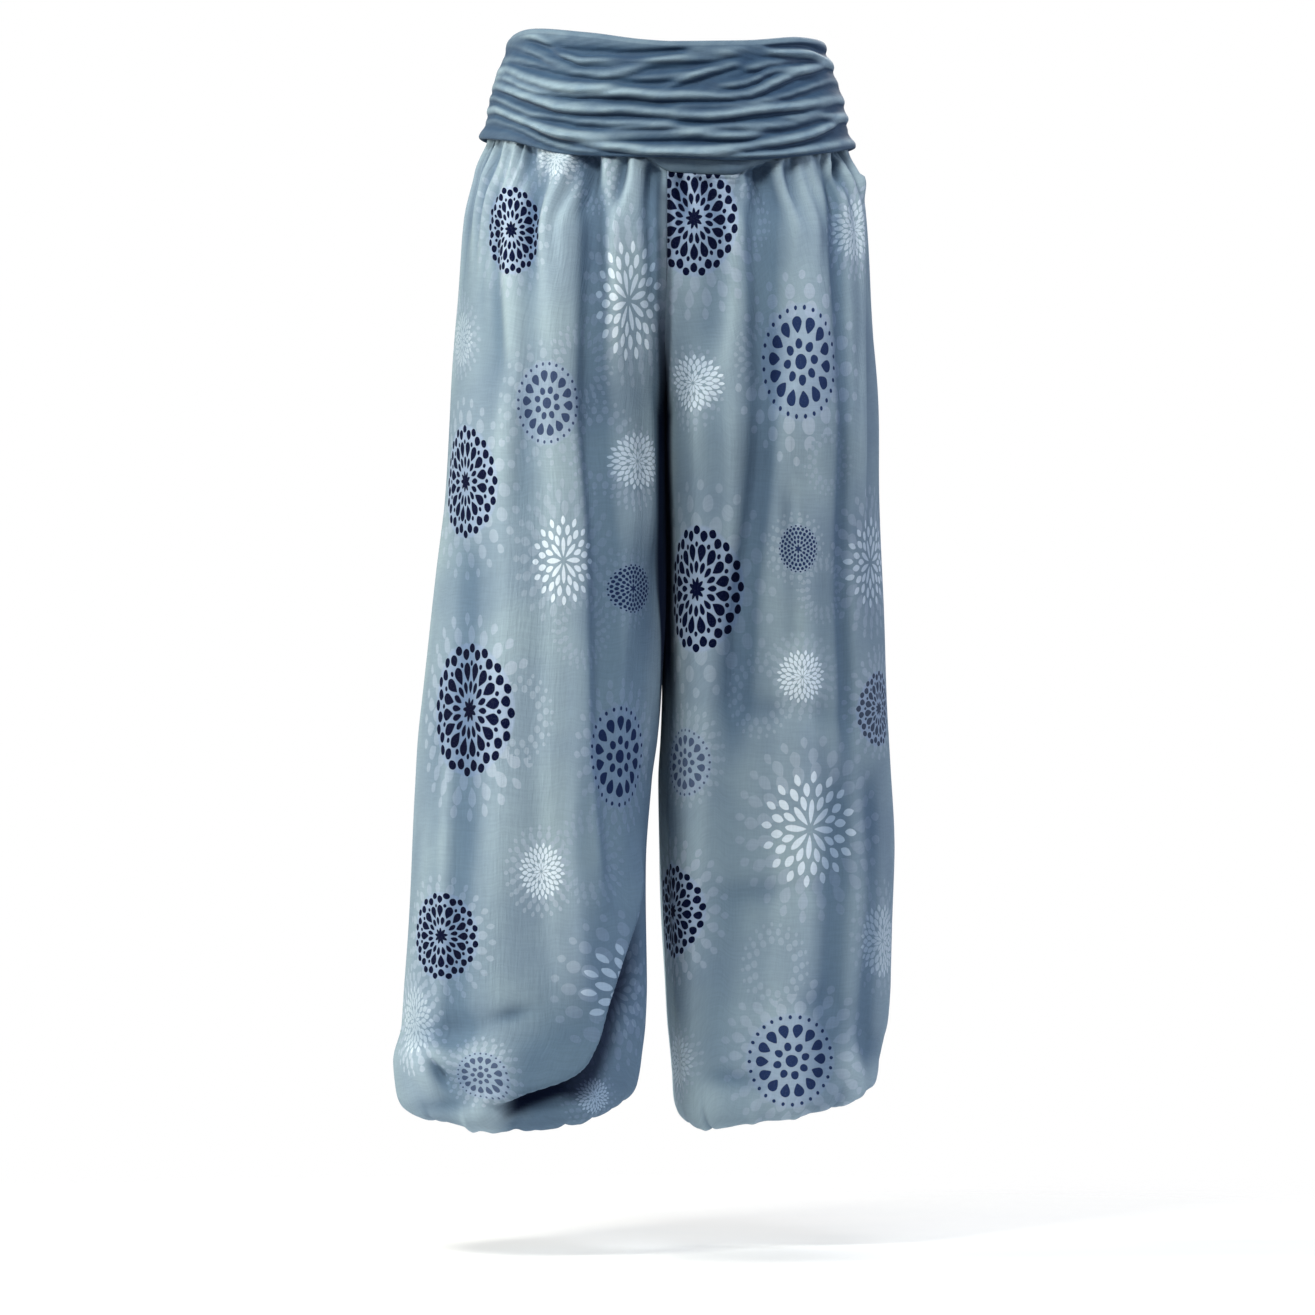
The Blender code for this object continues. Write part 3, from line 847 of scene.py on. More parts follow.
@dataclass
class Waistband:
    """The folded waistband: an inner layer, the top fold and a ruched outer layer."""

    layer_space: float = 7.0
    wall: float = 1.3
    flat: tuple[float, float] = (0.45, 0.29)
    area: float = 0.13
    flick: float = 4.5
    roll: float = 1.3
    roll_degrees: float = 250.0
    front_columns: int = 168
    back_columns: int = 132
    stations: tuple[int, ...] = (0, 30, 60, 82, 92, 111, 120, 150, 180, 240, 300, 360)
    girths: tuple[Girth, ...] = table(
        Girth,
        (-110, 168.0, 168.0, 119, 124), (-80, 165.5, 165.0, 116, 120),
        (-54, 162.5, 161.5, 112, 116), (-27, 155.0, 153.0, 107, 110),
        (-9, 147.5, 146.0, 104, 106), (5, 142.0, 140.0, 101, 103),
    )
    top_line: tuple[float, ...] = (
        4.5, 11.0, 5.5, -1.5, -3.0, -2.2, -1.5, 3.5, 2.5, 8.0, 7.0,
    )
    free_edge: tuple[float, ...] = (
        -83, -88, -103, -105.5, -106, -108, -107, -99, -92, -103, -94,
    )
    leg_seam: tuple[float, ...] = (
        -79, -85, -98, -106, -120, -122, -112, -96, -88, -99, -90,
    )
    ruches: tuple[Ruche, ...] = table(
        Ruche,
        (2.6, 5, 3.0, 1.0, ((-134, 10), (-116, 3), (-90, -13), (-72, -20), (-40, -20))),
        (2.6, 5, 2.6, 2.0, ((-142, -13), (-113, -21), (-94, -26), (-69, -29), (-16, -26))),
        (3.4, 5, 2.2, -2.0, ((-146, -22), (-124, -33), (-94, -40), (-65, -42), (-40, -40))),
        (2.6, 4, 2.2, 0.0, ((-2, -41), (25, -33), (47, -26), (70, -20))),
        (4.4, 6, 2.4, 3.0, (
            (-150, -26), (-113, -43), (-77, -48), (-40, -47), (-4, -51), (32, -51), (69, -48),
            (105, -33), (149, -17),
        )),
        (4.6, 6, 2.4, -3.0, (
            (-155, -36), (-125, -50), (-89, -61), (-40, -63), (-4, -67), (32, -68), (77, -63),
            (118, -58), (154, -48),
        )),
        (3.0, 4, 2.0, 0.0, ((-106, -65), (-77, -72), (-40, -76), (-4, -75), (14, -73))),
        (3.2, 4, 2.0, 2.0, ((14, -84), (40, -80), (69, -77), (105, -75), (140, -66))),
        (3.8, 5, 2.2, 1.0, (
            (-155, -58), (-125, -72), (-94, -85), (-65, -86), (-16, -86), (21, -86), (57, -85),
            (92, -82),
        )),
        (4.2, 6, 2.2, -2.0, (
            (-120, -75), (-77, -89), (-40, -97), (-11, -102), (32, -100), (81, -94), (130, -82),
            (160, -65),
        )),
        (2.8, 4, 2.2, 1.0, ((10, -104), (40, -105), (81, -104), (130, -96), (165, -88))),
        (2.6, 4, 2.0, 0.0, ((64, -27), (94, -19), (115, -15), (135, -11))),
        (3.8, 4, 2.0, 0.0, ((88, -10), (118, -10), (138, -13), (153, -20))),
        (1.8, 4, 2.6, 2.0, ((-158, -68), (-135, -76), (-110, -88), (-80, -97), (-50, -101))),
        (2.2, 2.5, 2.0, 0.0, ((-140, -2), (-122, -8), (-100, -18), (-84, -22))),
        (2.0, 2.5, 2.0, 0.0, ((-70, -34), (-40, -33), (-10, -34), (20, -32), (44, -24))),
        (2.4, 3.0, 2.0, 2.0, ((40, -42), (70, -38), (100, -26), (135, -24))),
        (2.0, 2.5, 2.0, 0.0, ((-152, -31), (-128, -42), (-104, -50), (-80, -55), (-50, -56))),
        (2.2, 2.5, 2.0, -2.0, ((0, -59), (40, -60), (70, -56), (100, -50), (148, -34))),
        (2.2, 2.5, 2.0, 0.0, ((-157, -47), (-140, -56), (-118, -66), (-95, -70))),
        (2.0, 2.5, 2.0, 0.0, ((-60, -81), (-30, -81), (0, -80), (30, -79))),
        (2.2, 2.5, 2.0, 2.0, ((96, -70), (120, -66), (142, -58), (157, -52))),
        (2.0, 2.5, 2.0, 0.0, ((90, -92), (120, -86), (146, -76), (160, -72))),
        (1.6, 2.5, 2.0, 0.0, ((-30, -22), (0, -21), (30, -19), (64, -14))),
        (1.6, 5, 4.0, 0.0, ((-60, -12), (-30, -14), (0, -16), (40, -13), (70, -9))),
        (-3.4, 4, 5.0, 0.0, ((-128, 5), (-105, -4), (-75, -12), (-35, -13), (20, -9))),
        (-5.5, 3.6, 3.6, 0.0, ((86, -3.5), (104, -4.5), (125, -4.0), (142, -8))),
    )

    def line(self, heights: Sequence[float], degrees: Array) -> Array:
        """Height of one of the band's lines at some places round it."""
        return follow(self.stations, (*heights, heights[0]), np.mod(degrees, 360))

    def point(self, degrees: Array, height: Array, offset: Array) -> Array:
        """Points of the band, this far outside its outer layer's mean surface.

        Args:
            degrees: How far round, from the right side seam by the front.
            height: Height above the origin.
            offset: How far outside the mean surface.

        Returns:
            The points, in millimetres.
        """
        turn = np.radians(degrees)
        across, along = np.cos(turn), np.sin(turn)
        right, left, front, back = (
            column(self.girths, "height", side, height) for side in Girth._fields[1:]
        )
        wide = np.where(across > 0, right, left) + offset
        deep = np.where(along > 0, front, back) + offset
        return np.stack([-wide * across, -deep * along, height + 0 * turn], axis=-1)

    def ruche_height(self, half: Half, x: Array, height: Array) -> Array:
        """How far the draped folds stand out.

        Args:
            half: Front or back.
            x: Distance from the centre plane, towards the wearer's left.
            height: Height above the origin.

        Returns:
            The offset from the layer's mean surface.
        """
        total = np.zeros(np.shape(x))
        for number, ruche in enumerate(self.ruches):
            xs, zs = zip(*ruche.path)
            line = follow(xs, zs, x)
            if half == Half.BACK:
                line = line + 2.2 * ruche.at_back * (1 - np.minimum(np.abs(x) / 150, 1) ** 2)
            line = line + 0.7 * np.sin(x / 17.0 + 1.7 * number)
            away = height - line
            wide = np.where(away > 0, 4.0, 4.2) * (0.4 + 0.6 * ruche.above / 5)
            first = np.where(np.min(xs) < -140, 1.0, smooth((x - np.min(xs) + 6) / 24))
            last = np.where(np.max(xs) > 136, 1.0, smooth((np.max(xs) + 6 - x) / 24))
            swell = 1 + 0.22 * np.sin(x / 31.0 + 2.3 * number)
            roll = bell(away + 1.0, wide) - 0.5 * bell(away + 7.0, 2.6)
            total = total + 1.4 * ruche.crest * first * last * swell * roll
        return total

    def crumple(self, degrees: Array, height: Array) -> Array:
        """The small creases that run with the ruches, uneven all round.

        Args:
            degrees: How far round, from the right side seam by the front.
            height: Height above the origin.

        Returns:
            The offset from the layer's mean surface.
        """
        drift = height + 13 * np.cos(np.radians(2 * degrees)) * np.sin(np.radians(degrees))
        first = np.sin(drift / 0.95 + 2.2 * np.sin(np.radians(3 * degrees)))
        second = np.sin(drift / 1.5 + 3.0 * np.sin(np.radians(2 * degrees) + 1.0))
        where = smooth(0.5 + 0.8 * np.sin(np.radians(7 * degrees) + height / 9))
        return 0.20 * first * where + 0.32 * second * (1 - where)

    def rows(self) -> Array:
        """Each row's part and share: 0 to 1 is the inner layer, 1 to 2 the top fold, 2 to 3 the
        outer layer and 3 to 4 the rolled hem."""
        return steps((0, 1, 16), (1, 2, 10), (2, 3, 106), (3, 4, 8))

    def places(self, half: Half) -> tuple[Array, Array]:
        """Every place of one half of the band.

        Args:
            half: Front or back.

        Returns:
            The places, in millimetres, and the map of the ruches' relief that paints shade into the
            tucks, which is a half where the outer layer lies on its mean surface.
        """
        columns = self.front_columns if half == Half.FRONT else self.back_columns
        start = 0 if half == Half.FRONT else 180
        degrees, part = np.meshgrid(np.linspace(start, start + 180, columns + 1), self.rows())
        fold = self.layer_space / 2
        top = self.line(self.top_line, degrees)
        free = self.line(self.free_edge, degrees)
        low = self.line(self.leg_seam, degrees) + SEAM_GAP / 2
        turn = np.pi * np.clip(part - 1, 0, 1)
        curl = np.radians(self.roll_degrees) * np.clip(part - 3, 0, 1)
        height = np.where(part < 1, mix(low, top - fold, part), top - fold + fold * np.sin(turn))
        outer = mix(top - fold, free + 0.6, np.clip(part - 2, 0, 1))
        height = np.where(part > 2, outer - self.roll * np.sin(curl), height)
        offset = np.where(part < 1, -self.layer_space, -fold * (1 + np.cos(turn)))
        sideways = np.abs(np.cos(np.radians(degrees))) ** 8
        flick = self.flick * sideways * smooth(1 - (height - free) / 12)
        x = self.point(degrees, outer, 0.0)[..., 0]
        calm = smooth((part - 2) / 0.03) * smooth((3.0 - part) / 0.02)
        folds = self.ruche_height(half, x, outer) + self.crumple(degrees, outer)
        at_sides = 1 - 0.8 * np.abs(np.cos(np.radians(degrees))) ** 4
        sunk = 1.6 * smooth((part - 2.75) / 0.25) - 3.0 * smooth((part - 2) / 0.16)
        shown = folds * calm + sunk
        folds = folds * calm * at_sides + sunk
        folds = np.where(folds < -3, -3 - 1.6 * np.tanh((-3 - folds) / 1.6), folds)
        hem = self.roll * (1 - np.cos(curl))
        offset = offset + np.where(part > 2, folds + flick - hem, 0.0)
        inner_sag = 0.8 * np.sin(height / 5.0 + np.radians(5 * degrees))
        offset = offset + np.where(part < 1, inner_sag * smooth(part * 4), 0.0)
        placed = self.point(degrees, height, offset)
        placed[..., 1] += half * SEAM_GAP / 2
        # The relief map paints shade into the jersey's colour; the inner layer and the top fold get
        # one fixed step of it, a little lighter than the outer layer's mean.
        relief = 0.5 + np.where(part > 2, np.maximum(shown, -4.6) / 10, 0.12)
        return placed, np.stack([relief, 0 * relief], axis=-1)

    def piece(self, half: Half) -> ClothPiece:
        """Cuts one half of the band.

        Args:
            half: Front or back.

        Returns:
            The piece, ready to sew.
        """
        places, relief = self.places(half)
        side = half.name.lower()
        return ClothPiece(
            name=f"jersey_band_{side}", node=f"waistband_{side}", slot="slate_jersey",
            places=places, wall=self.wall, flat=self.flat, area=self.area, held=Hold.FOLDED,
            outward_from=(0, 0), maps={"cloth": cloth_map(places), "relief": relief},
        )


# ---- legs


class Section(NamedTuple):
    """One ring of a leg, at a level below the waist. Outer and inner are distances from the centre
    plane, middle is where the side seams lie in Y, and front and back are measured from there."""

    level: float
    outer: float
    inner: float
    middle: float
    front: float
    back: float


class Turn(NamedTuple):
    """One step of the bloused turn: how far the wall has moved in towards the ankle, fallen to the
    hem line and risen again to the casing, and how far it stands above the casing."""

    along: float
    inward: float
    fall: float
    rise: float
    lift: float


class Fold(NamedTuple):
    """A long fold of a panel: its height (a valley is negative), its width towards the outer and
    the inner side, where it starts and ends, and its distance from the centre plane at five
    levels."""

    height: float
    outward: float
    inward: float
    start: float
    end: float
    at_130: float
    at_300: float
    at_500: float
    at_700: float
    at_860: float


class Dent(NamedTuple):
    """A short hollow or swelling: its height, half sizes across and down, its place beside the
    centre plane and below the waist, and how far its lower end leans outwards."""

    height: float
    across: float
    down: float
    beside: float
    below: float
    lean: float


class Motif(NamedTuple):
    """A printed motif: its place beside the centre plane and below the waist, its width and height
    as they show, its turn in shares of a circle, the print's strength, and whether it runs into
    the swag's crease, so that little of it shows past the crease."""

    flower: Flower
    beside: float
    below: float
    width: float
    height: float
    turn: float = 0.0
    strength: float = 1.0
    tucked: bool = False


FOLD_LEVELS = (130, 300, 500, 700, 860)
TURN_STEPS = table(
    Turn,
    (0.00, 0.00, 0.00, 0.00, 0.0), (0.22, 0.00, 0.40, 0.00, 0.0), (0.42, 0.03, 0.75, 0.00, 0.0),
    (0.58, 0.12, 0.94, 0.00, 0.0), (0.70, 0.30, 1.00, 0.00, 0.0), (0.82, 0.60, 1.00, 0.25, 0.0),
    (0.90, 0.86, 1.00, 0.80, 6.0), (0.95, 1.00, 1.00, 1.00, 6.0), (1.00, 1.00, 1.00, 1.00, 0.0),
)
SWAG_LINE = (
    (20, 690), (22, 716), (27, 746), (37.5, 785), (51.5, 823), (63.5, 857), (70.5, 885), (81, 908),
    (89, 915), (101, 920), (127, 928), (149, 939),
)

RIGHT_SECTIONS = table(
    Section,
    (80, 163.0, 0.38, 0, 109, 112), (95, 168.5, 0.38, 0, 113, 117),
    (108, 169.5, 0.38, 0, 117, 121), (158, 180.5, 0.38, 0, 126, 131),
    (230, 187.0, 0.38, 0, 133, 138), (335, 195.0, 0.38, 0, 137, 142),
    (400, 198.5, 0.38, -12, 132, 138), (480, 206.0, 1.0, -26, 128, 133),
    (590, 218.0, 5.8, -43, 124, 128), (625, 221.0, 9.0, -48, 123, 126),
    (661, 222.5, 14.5, -53, 122, 125), (733, 226.8, 20.0, -62, 120, 122),
    (841, 233.0, 18.5, -73, 117, 118), (877, 235.5, 20.0, -76, 116, 117),
    (913, 243.0, 24.0, -79, 116, 116), (935, 243.0, 25.2, -80, 114, 114),
)
LEFT_SECTIONS = table(
    Section,
    (80, 160.0, 0.38, 0, 109, 112), (95, 164.5, 0.38, 0, 113, 117),
    (108, 169.2, 0.38, 0, 117, 121), (158, 177.3, 0.38, 0, 126, 131),
    (230, 182.7, 0.38, 0, 133, 138), (335, 189.0, 0.38, 0, 137, 142),
    (400, 190.5, 0.38, 9, 133, 137), (480, 193.5, -0.9, 20, 128, 132),
    (590, 198.0, -3.8, 36, 123, 127), (625, 200.0, -5.4, 41, 122, 125),
    (661, 201.6, -7.4, 46, 121, 124), (733, 204.3, -5.2, 54, 118, 121),
    (841, 202.5, -0.9, 65, 114, 117), (877, 199.8, 0.9, 68, 112, 115),
    (913, 193.0, 4.5, 71, 110, 113), (935, 190.0, 6.3, 72, 108, 111),
)

RIGHT_FRONT_FOLDS = table(
    Fold,
    (5.5, 17, 14, 100, 930, 96, 95, 91, 96, 82), (-9.5, 9, 16, 100, 810, 70, 68, 61, 51, 48),
    (5.5, 9, 7, 100, 340, 50, 46, 43, 41, 40), (3.0, 5, 6, 100, 220, 25, 25, 25, 25, 25),
    (-5.0, 7, 8, 100, 280, 11, 13, 14, 14, 14), (3.0, 13, 8, 230, 520, 15, 15, 15, 15, 15),
    (-4.0, 7, 7, 100, 260, 120, 121, 126, 130, 130),
    (4.5, 12, 11, 100, 460, 137, 140, 150, 160, 160),
    (3.5, 16, 20, 400, 800, 138, 138, 138, 142, 142),
    (-4.5, 17, 17, 430, 1000, 178, 178, 178, 184, 188),
    (-4.5, 34, 30, 420, 980, 20, 20, 24, 34, 42),
)
LEFT_FRONT_FOLDS = table(
    Fold,
    (2.6, 8, 20, 100, 960, 62, 59, 44, 26, 22), (-2.5, 9, 16, 110, 560, 49, 46, 43, 40, 40),
    (-9.5, 15, 10, 100, 665, 81, 84, 67, 56, 50), (-2.2, 16, 14, 740, 980, 60, 60, 58, 55, 46),
    (3.5, 17, 15, 100, 600, 126, 125, 118, 112, 106),
    (5.5, 17, 15, 520, 980, 118, 118, 118, 112, 106),
    (-4.0, 7, 8, 380, 640, 110, 110, 109, 109, 109),
    (-6.5, 9, 10, 100, 700, 152, 156, 159, 160, 160),
    (4.5, 8, 10, 100, 480, 172, 174, 178, 180, 180),
    (-5.0, 13, 14, 640, 980, 150, 150, 154, 154, 152),
    (-4.5, 13, 15, 640, 1000, 186, 186, 186, 186, 182),
)
RIGHT_BACK_FOLDS = table(
    Fold,
    (7.0, 18, 12, 100, 900, 108, 105, 100, 95, 90), (-10.0, 9, 15, 100, 880, 78, 73, 66, 58, 50),
    (6.0, 13, 11, 100, 860, 38, 36, 33, 32, 32),
    (-7.0, 12, 10, 100, 760, 144, 150, 156, 162, 164),
    (5.0, 12, 12, 480, 920, 176, 176, 182, 190, 192),
)
LEFT_BACK_FOLDS = table(
    Fold,
    (7.0, 17, 12, 100, 900, 120, 118, 113, 108, 104),
    (-10.0, 9, 15, 100, 880, 88, 84, 77, 70, 64), (6.0, 13, 12, 100, 880, 44, 40, 36, 32, 34),
    (-7.0, 12, 10, 100, 720, 148, 155, 158, 160, 160),
    (5.0, 12, 12, 480, 920, 172, 174, 176, 176, 172),
)

RIGHT_FRONT_DENTS = table(
    Dent,
    (-9.0, 6, 12, 204, 917, -7), (4.0, 8, 16, 217, 916, -6), (-5.0, 26, 14, 194, 882, 10),
    (-3.5, 15, 8, 137, 866, 7), (3.5, 40, 14, 190, 905, 0), (4.0, 46, 12, 150, 952, 0),
    (-3.0, 30, 8, 196, 948, 10),
)
LEFT_FRONT_DENTS = table(
    Dent,
    (-3.0, 14, 20, 186, 900, 10), (3.5, 20, 26, 176, 930, 16), (-3.0, 24, 9, 60, 930, 10),
    (3.0, 16, 20, 34, 950, 0), (-2.4, 50, 14, 110, 600, 20), (-2.2, 46, 13, 96, 760, -18),
    (-2.0, 40, 14, 120, 860, 12),
)
RIGHT_BACK_DENTS = table(
    Dent,
    (-4.0, 10, 18, 196, 915, -8), (3.5, 36, 14, 150, 920, 0), (-3.0, 30, 10, 90, 930, 8),
    (-2.6, 56, 14, 110, 640, 22), (-2.4, 46, 12, 90, 420, -18),
)
LEFT_BACK_DENTS = table(
    Dent,
    (-4.0, 12, 18, 60, 920, 8), (3.5, 36, 14, 120, 925, 0), (-3.0, 26, 10, 160, 915, -8),
    (-2.6, 56, 14, 100, 560, -20), (-2.4, 46, 12, 110, 760, 18),
)


def motifs(sizes: dict[Flower, tuple[tuple[Any, ...], ...]]) -> tuple[Motif, ...]:
    """A panel's motifs from their sizes by flower."""
    return tuple(Motif(flower, *row) for flower, rows in sizes.items() for row in rows)


RIGHT_FRONT_PRINT = motifs({
    Flower.STAR: (
        (137, 171, 46, 80, 0.02), (180, 397, 62, 101), (177, 598, 86, 118, 0.01),
        (201, 798, 70, 77, 0.03),
    ),
    Flower.DOTTED: ((106, 324, 56, 75, 0.05, 0.9), (38, 639, 60, 92), (164, 918, 62, 40, 0, 0.8)),
    Flower.ROSETTE: ((28, 492, 35, 44),),
    Flower.BURST: (
        (34, 234, 59, 108, 0.02), (92, 464, 55, 80, 0.06), (42, 846, 80, 96, 0, 1.0, True),
    ),
    Flower.DAHLIA: (
        (26, 377, 37, 51), (111, 739, 39, 50, 0.04), (63, 940, 40, 33),
        (184, 266, 26, 50, 0, 0.45), (224, 873, 32, 60, 0.02, 0.5), (96, 107, 40, 36, 0, 0.5),
    ),
})
LEFT_FRONT_PRINT = motifs({
    Flower.STAR: (
        (24, 162, 78, 104, 0.03), (27, 489, 80, 113), (5, 778, 60, 86, 0.02),
        (190, 597, 40, 68, 0, 0.8),
    ),
    Flower.DOTTED: (
        (117, 291, 68, 104, 0.02), (17, 645, 46, 62, 0, 0.8), (111, 912, 80, 86, 0.04),
    ),
    Flower.ROSETTE: ((116, 452, 34, 43),),
    Flower.BURST: ((127, 703, 86, 105, 0.05), (183, 465, 46, 82, 0, 0.95)),
    Flower.DAHLIA: (
        (23, 308, 42, 51, 0.02), (119, 566, 42, 47), (166, 168, 28, 56, 0.04, 0.65),
        (194, 805, 38, 66, 0, 0.6), (10, 913, 30, 50, 0, 0.45),
    ),
})
RIGHT_BACK_PRINT = motifs({
    Flower.STAR: (
        (60, 190, 66, 94, 0.02), (150, 450, 84, 112), (52, 700, 82, 110, 0.01),
        (190, 830, 70, 90, 0.03),
    ),
    Flower.DOTTED: (
        (140, 260, 62, 88, 0.05, 0.9), (58, 440, 60, 88), (120, 925, 64, 50, 0.03, 0.9),
    ),
    Flower.ROSETTE: ((106, 350, 35, 42), (140, 640, 36, 44)),
    Flower.BURST: ((40, 310, 62, 96, 0.02), (76, 560, 70, 92, 0.06), (128, 760, 84, 100)),
    Flower.DAHLIA: (
        (114, 160, 38, 50), (176, 350, 38, 50, 0.04), (54, 850, 40, 48),
        (196, 590, 36, 52, 0, 0.9),
    ),
})
LEFT_BACK_PRINT = motifs({
    Flower.STAR: (
        (128, 200, 70, 96, 0.02), (50, 390, 76, 104), (134, 600, 88, 114, 0.01),
        (40, 820, 70, 92, 0.03),
    ),
    Flower.DOTTED: (
        (150, 400, 66, 92, 0.05, 0.9), (50, 580, 60, 88), (140, 880, 78, 80, 0.03, 0.9),
    ),
    Flower.ROSETTE: ((70, 280, 35, 42), (100, 490, 36, 44)),
    Flower.BURST: ((30, 200, 60, 98, 0.02), (176, 500, 62, 88, 0.06), (88, 725, 84, 100)),
    Flower.DAHLIA: (
        (110, 320, 38, 50), (176, 700, 38, 50, 0.04), (86, 925, 40, 36),
        (180, 270, 36, 52, 0, 0.9),
    ),
})


@dataclass
class Leg:
    """One leg: the rings it is shaped on, its bloused hem and its ankle."""

    name: str
    side: Side
    sections: tuple[Section, ...]
    hem: tuple[float, ...]
    ankle: float
    band: Waistband
    square: float = 0.22
    square_to: float = 690.0
    slant_to: float = 180.0
    ankle_radius: float = 42.0
    casing_top: float = 941.5

    def ring_size(self, level: Array, depth: Array) -> tuple[Array, Array, Array]:
        """The size of the leg's rings.

        Args:
            level: Each row's level, which sets how far the legs have parted.
            depth: True depth below the waist, which sets how wide the leg is.

        Returns:
            The outer edge, the half width and the angle of the inner seam.
        """
        share = smooth((level - CLEFT_TOP) / (CROTCH - CLEFT_TOP))
        outer = column(self.sections, "level", "outer", depth)
        inner = 0.03 + 0.35 * share
        inner = np.where(share >= 1, column(self.sections, "level", "inner", depth), inner)
        return outer, (outer - inner) / (1 + share), np.arccos(-(share ** (1 / FULLNESS)))

    def plan(self, half: Half, level: Array, depth: Array, across: Array) -> tuple[Array, Array]:
        """Where points lie on their rings, seen from above.

        Args:
            half: Front or back.
            level: Each row's level.
            depth: True depth below the waist.
            across: Each point's share of the way from outer to inner seam.

        Returns:
            The distances from the centre plane, and the places in Y.
        """
        outer, half_width, last = self.ring_size(level, depth)
        turn = across * last
        squared = smooth((level - 200) / 135) * (1 - smooth((level - self.square_to) / 130))
        fullness = FULLNESS - self.square * squared * smooth((turn - np.pi / 2) / 0.7)
        reach = column(self.sections, "level", "front" if half == Half.FRONT else "back", depth)
        middle = column(self.sections, "level", "middle", depth)
        x = outer - half_width * (1 - signed_power(np.cos(turn), fullness))
        y = middle + half * (SEAM_GAP / 2 + reach * signed_power(np.sin(turn), fullness))
        return x, y

    def degrees(self, half: Half, across: Array) -> Array:
        """Where a panel's top edge lies on the waistband, in degrees round it."""
        front = 90 * across if self.side == Side.RIGHT else 180 - 90 * across
        return front if half == Half.FRONT else 360 - front

    def wall(self, half: Half, across: Array, level: Array) -> Array:
        """The panel from the waist seam down to where it starts to turn in. Its rows follow the
        seam at the top and are level from some way down.

        Args:
            half: Front or back.
            across: Each point's share of the way from outer to inner seam.
            level: Each row's level.

        Returns:
            The points, in millimetres.
        """
        degrees = self.degrees(half, across)
        seam = self.band.line(self.band.leg_seam, degrees) - SEAM_GAP / 2
        slanted = mix(seam, -self.slant_to, (level - SEAM_LEVEL) / (self.slant_to - SEAM_LEVEL))
        height = np.where(level < self.slant_to, slanted, -level)
        x, y = self.plan(half, level, -height, across)
        tucked = 1.5 * (1 - smooth((level - 99.5) / 1.5))
        waist = self.band.point(degrees, height, -self.band.layer_space - tucked)
        share = smooth((level - 102.0) / (PUFF + 48 * smooth((across - 0.12) / 0.4)))
        x = mix(np.maximum(np.abs(waist[..., 0]), 0.03), x, share)
        y = mix(waist[..., 1] + half * SEAM_GAP / 2, y, share)
        return np.stack([self.side * x, y, height], axis=-1)

    def turned(self, half: Half, across: Array, level: Array) -> Array:
        """The bloused turn, down to the hem line, in to the ankle and up to the casing.

        Args:
            half: Front or back.
            across: Each point's share of the way from outer to inner seam.
            level: Each row's level.

        Returns:
            The points, in millimetres.
        """
        along = (level - TURN_TOP) / (LAST_LEVEL - TURN_TOP)
        inward, fall, rise, lift = (
            column(TURN_STEPS, "along", move, along) for move in Turn._fields[1:]
        )
        eighths = 4 * across if half == Half.FRONT else 8 - 4 * across
        lowest = follow(range(9), (*self.hem, self.hem[0]), eighths)
        casing = -self.casing_top + SEAM_GAP / 2
        height = mix(-mix(TURN_TOP, lowest, fall), casing, rise) + lift
        x, y = self.plan(half, level, np.minimum(-height, LOWEST_RING), across)
        middle = column(self.sections, "level", "middle", LOWEST_RING)
        ankle_x = self.ankle + self.ankle_radius * np.cos(np.pi * across)
        ankle_y = self.ankle_radius * np.sin(np.pi * across)
        ankle_y = middle + half * (SEAM_GAP / 2 + 0.35 * inward + ankle_y)
        return np.stack([self.side * mix(x, ankle_x, inward), mix(y, ankle_y, inward), height], -1)

    def base(self, half: Half, across: Array, level: Array) -> Array:
        """The panel without its gathers and folds.

        Args:
            half: Front or back.
            across: Each point's share of the way from outer to inner seam.
            level: Each row's level.

        Returns:
            The points, in millimetres.
        """
        wall = self.wall(half, across, np.minimum(level, TURN_TOP))
        turned = self.turned(half, across, np.maximum(level, TURN_TOP))
        return np.where((level <= TURN_TOP)[..., None], wall, turned)


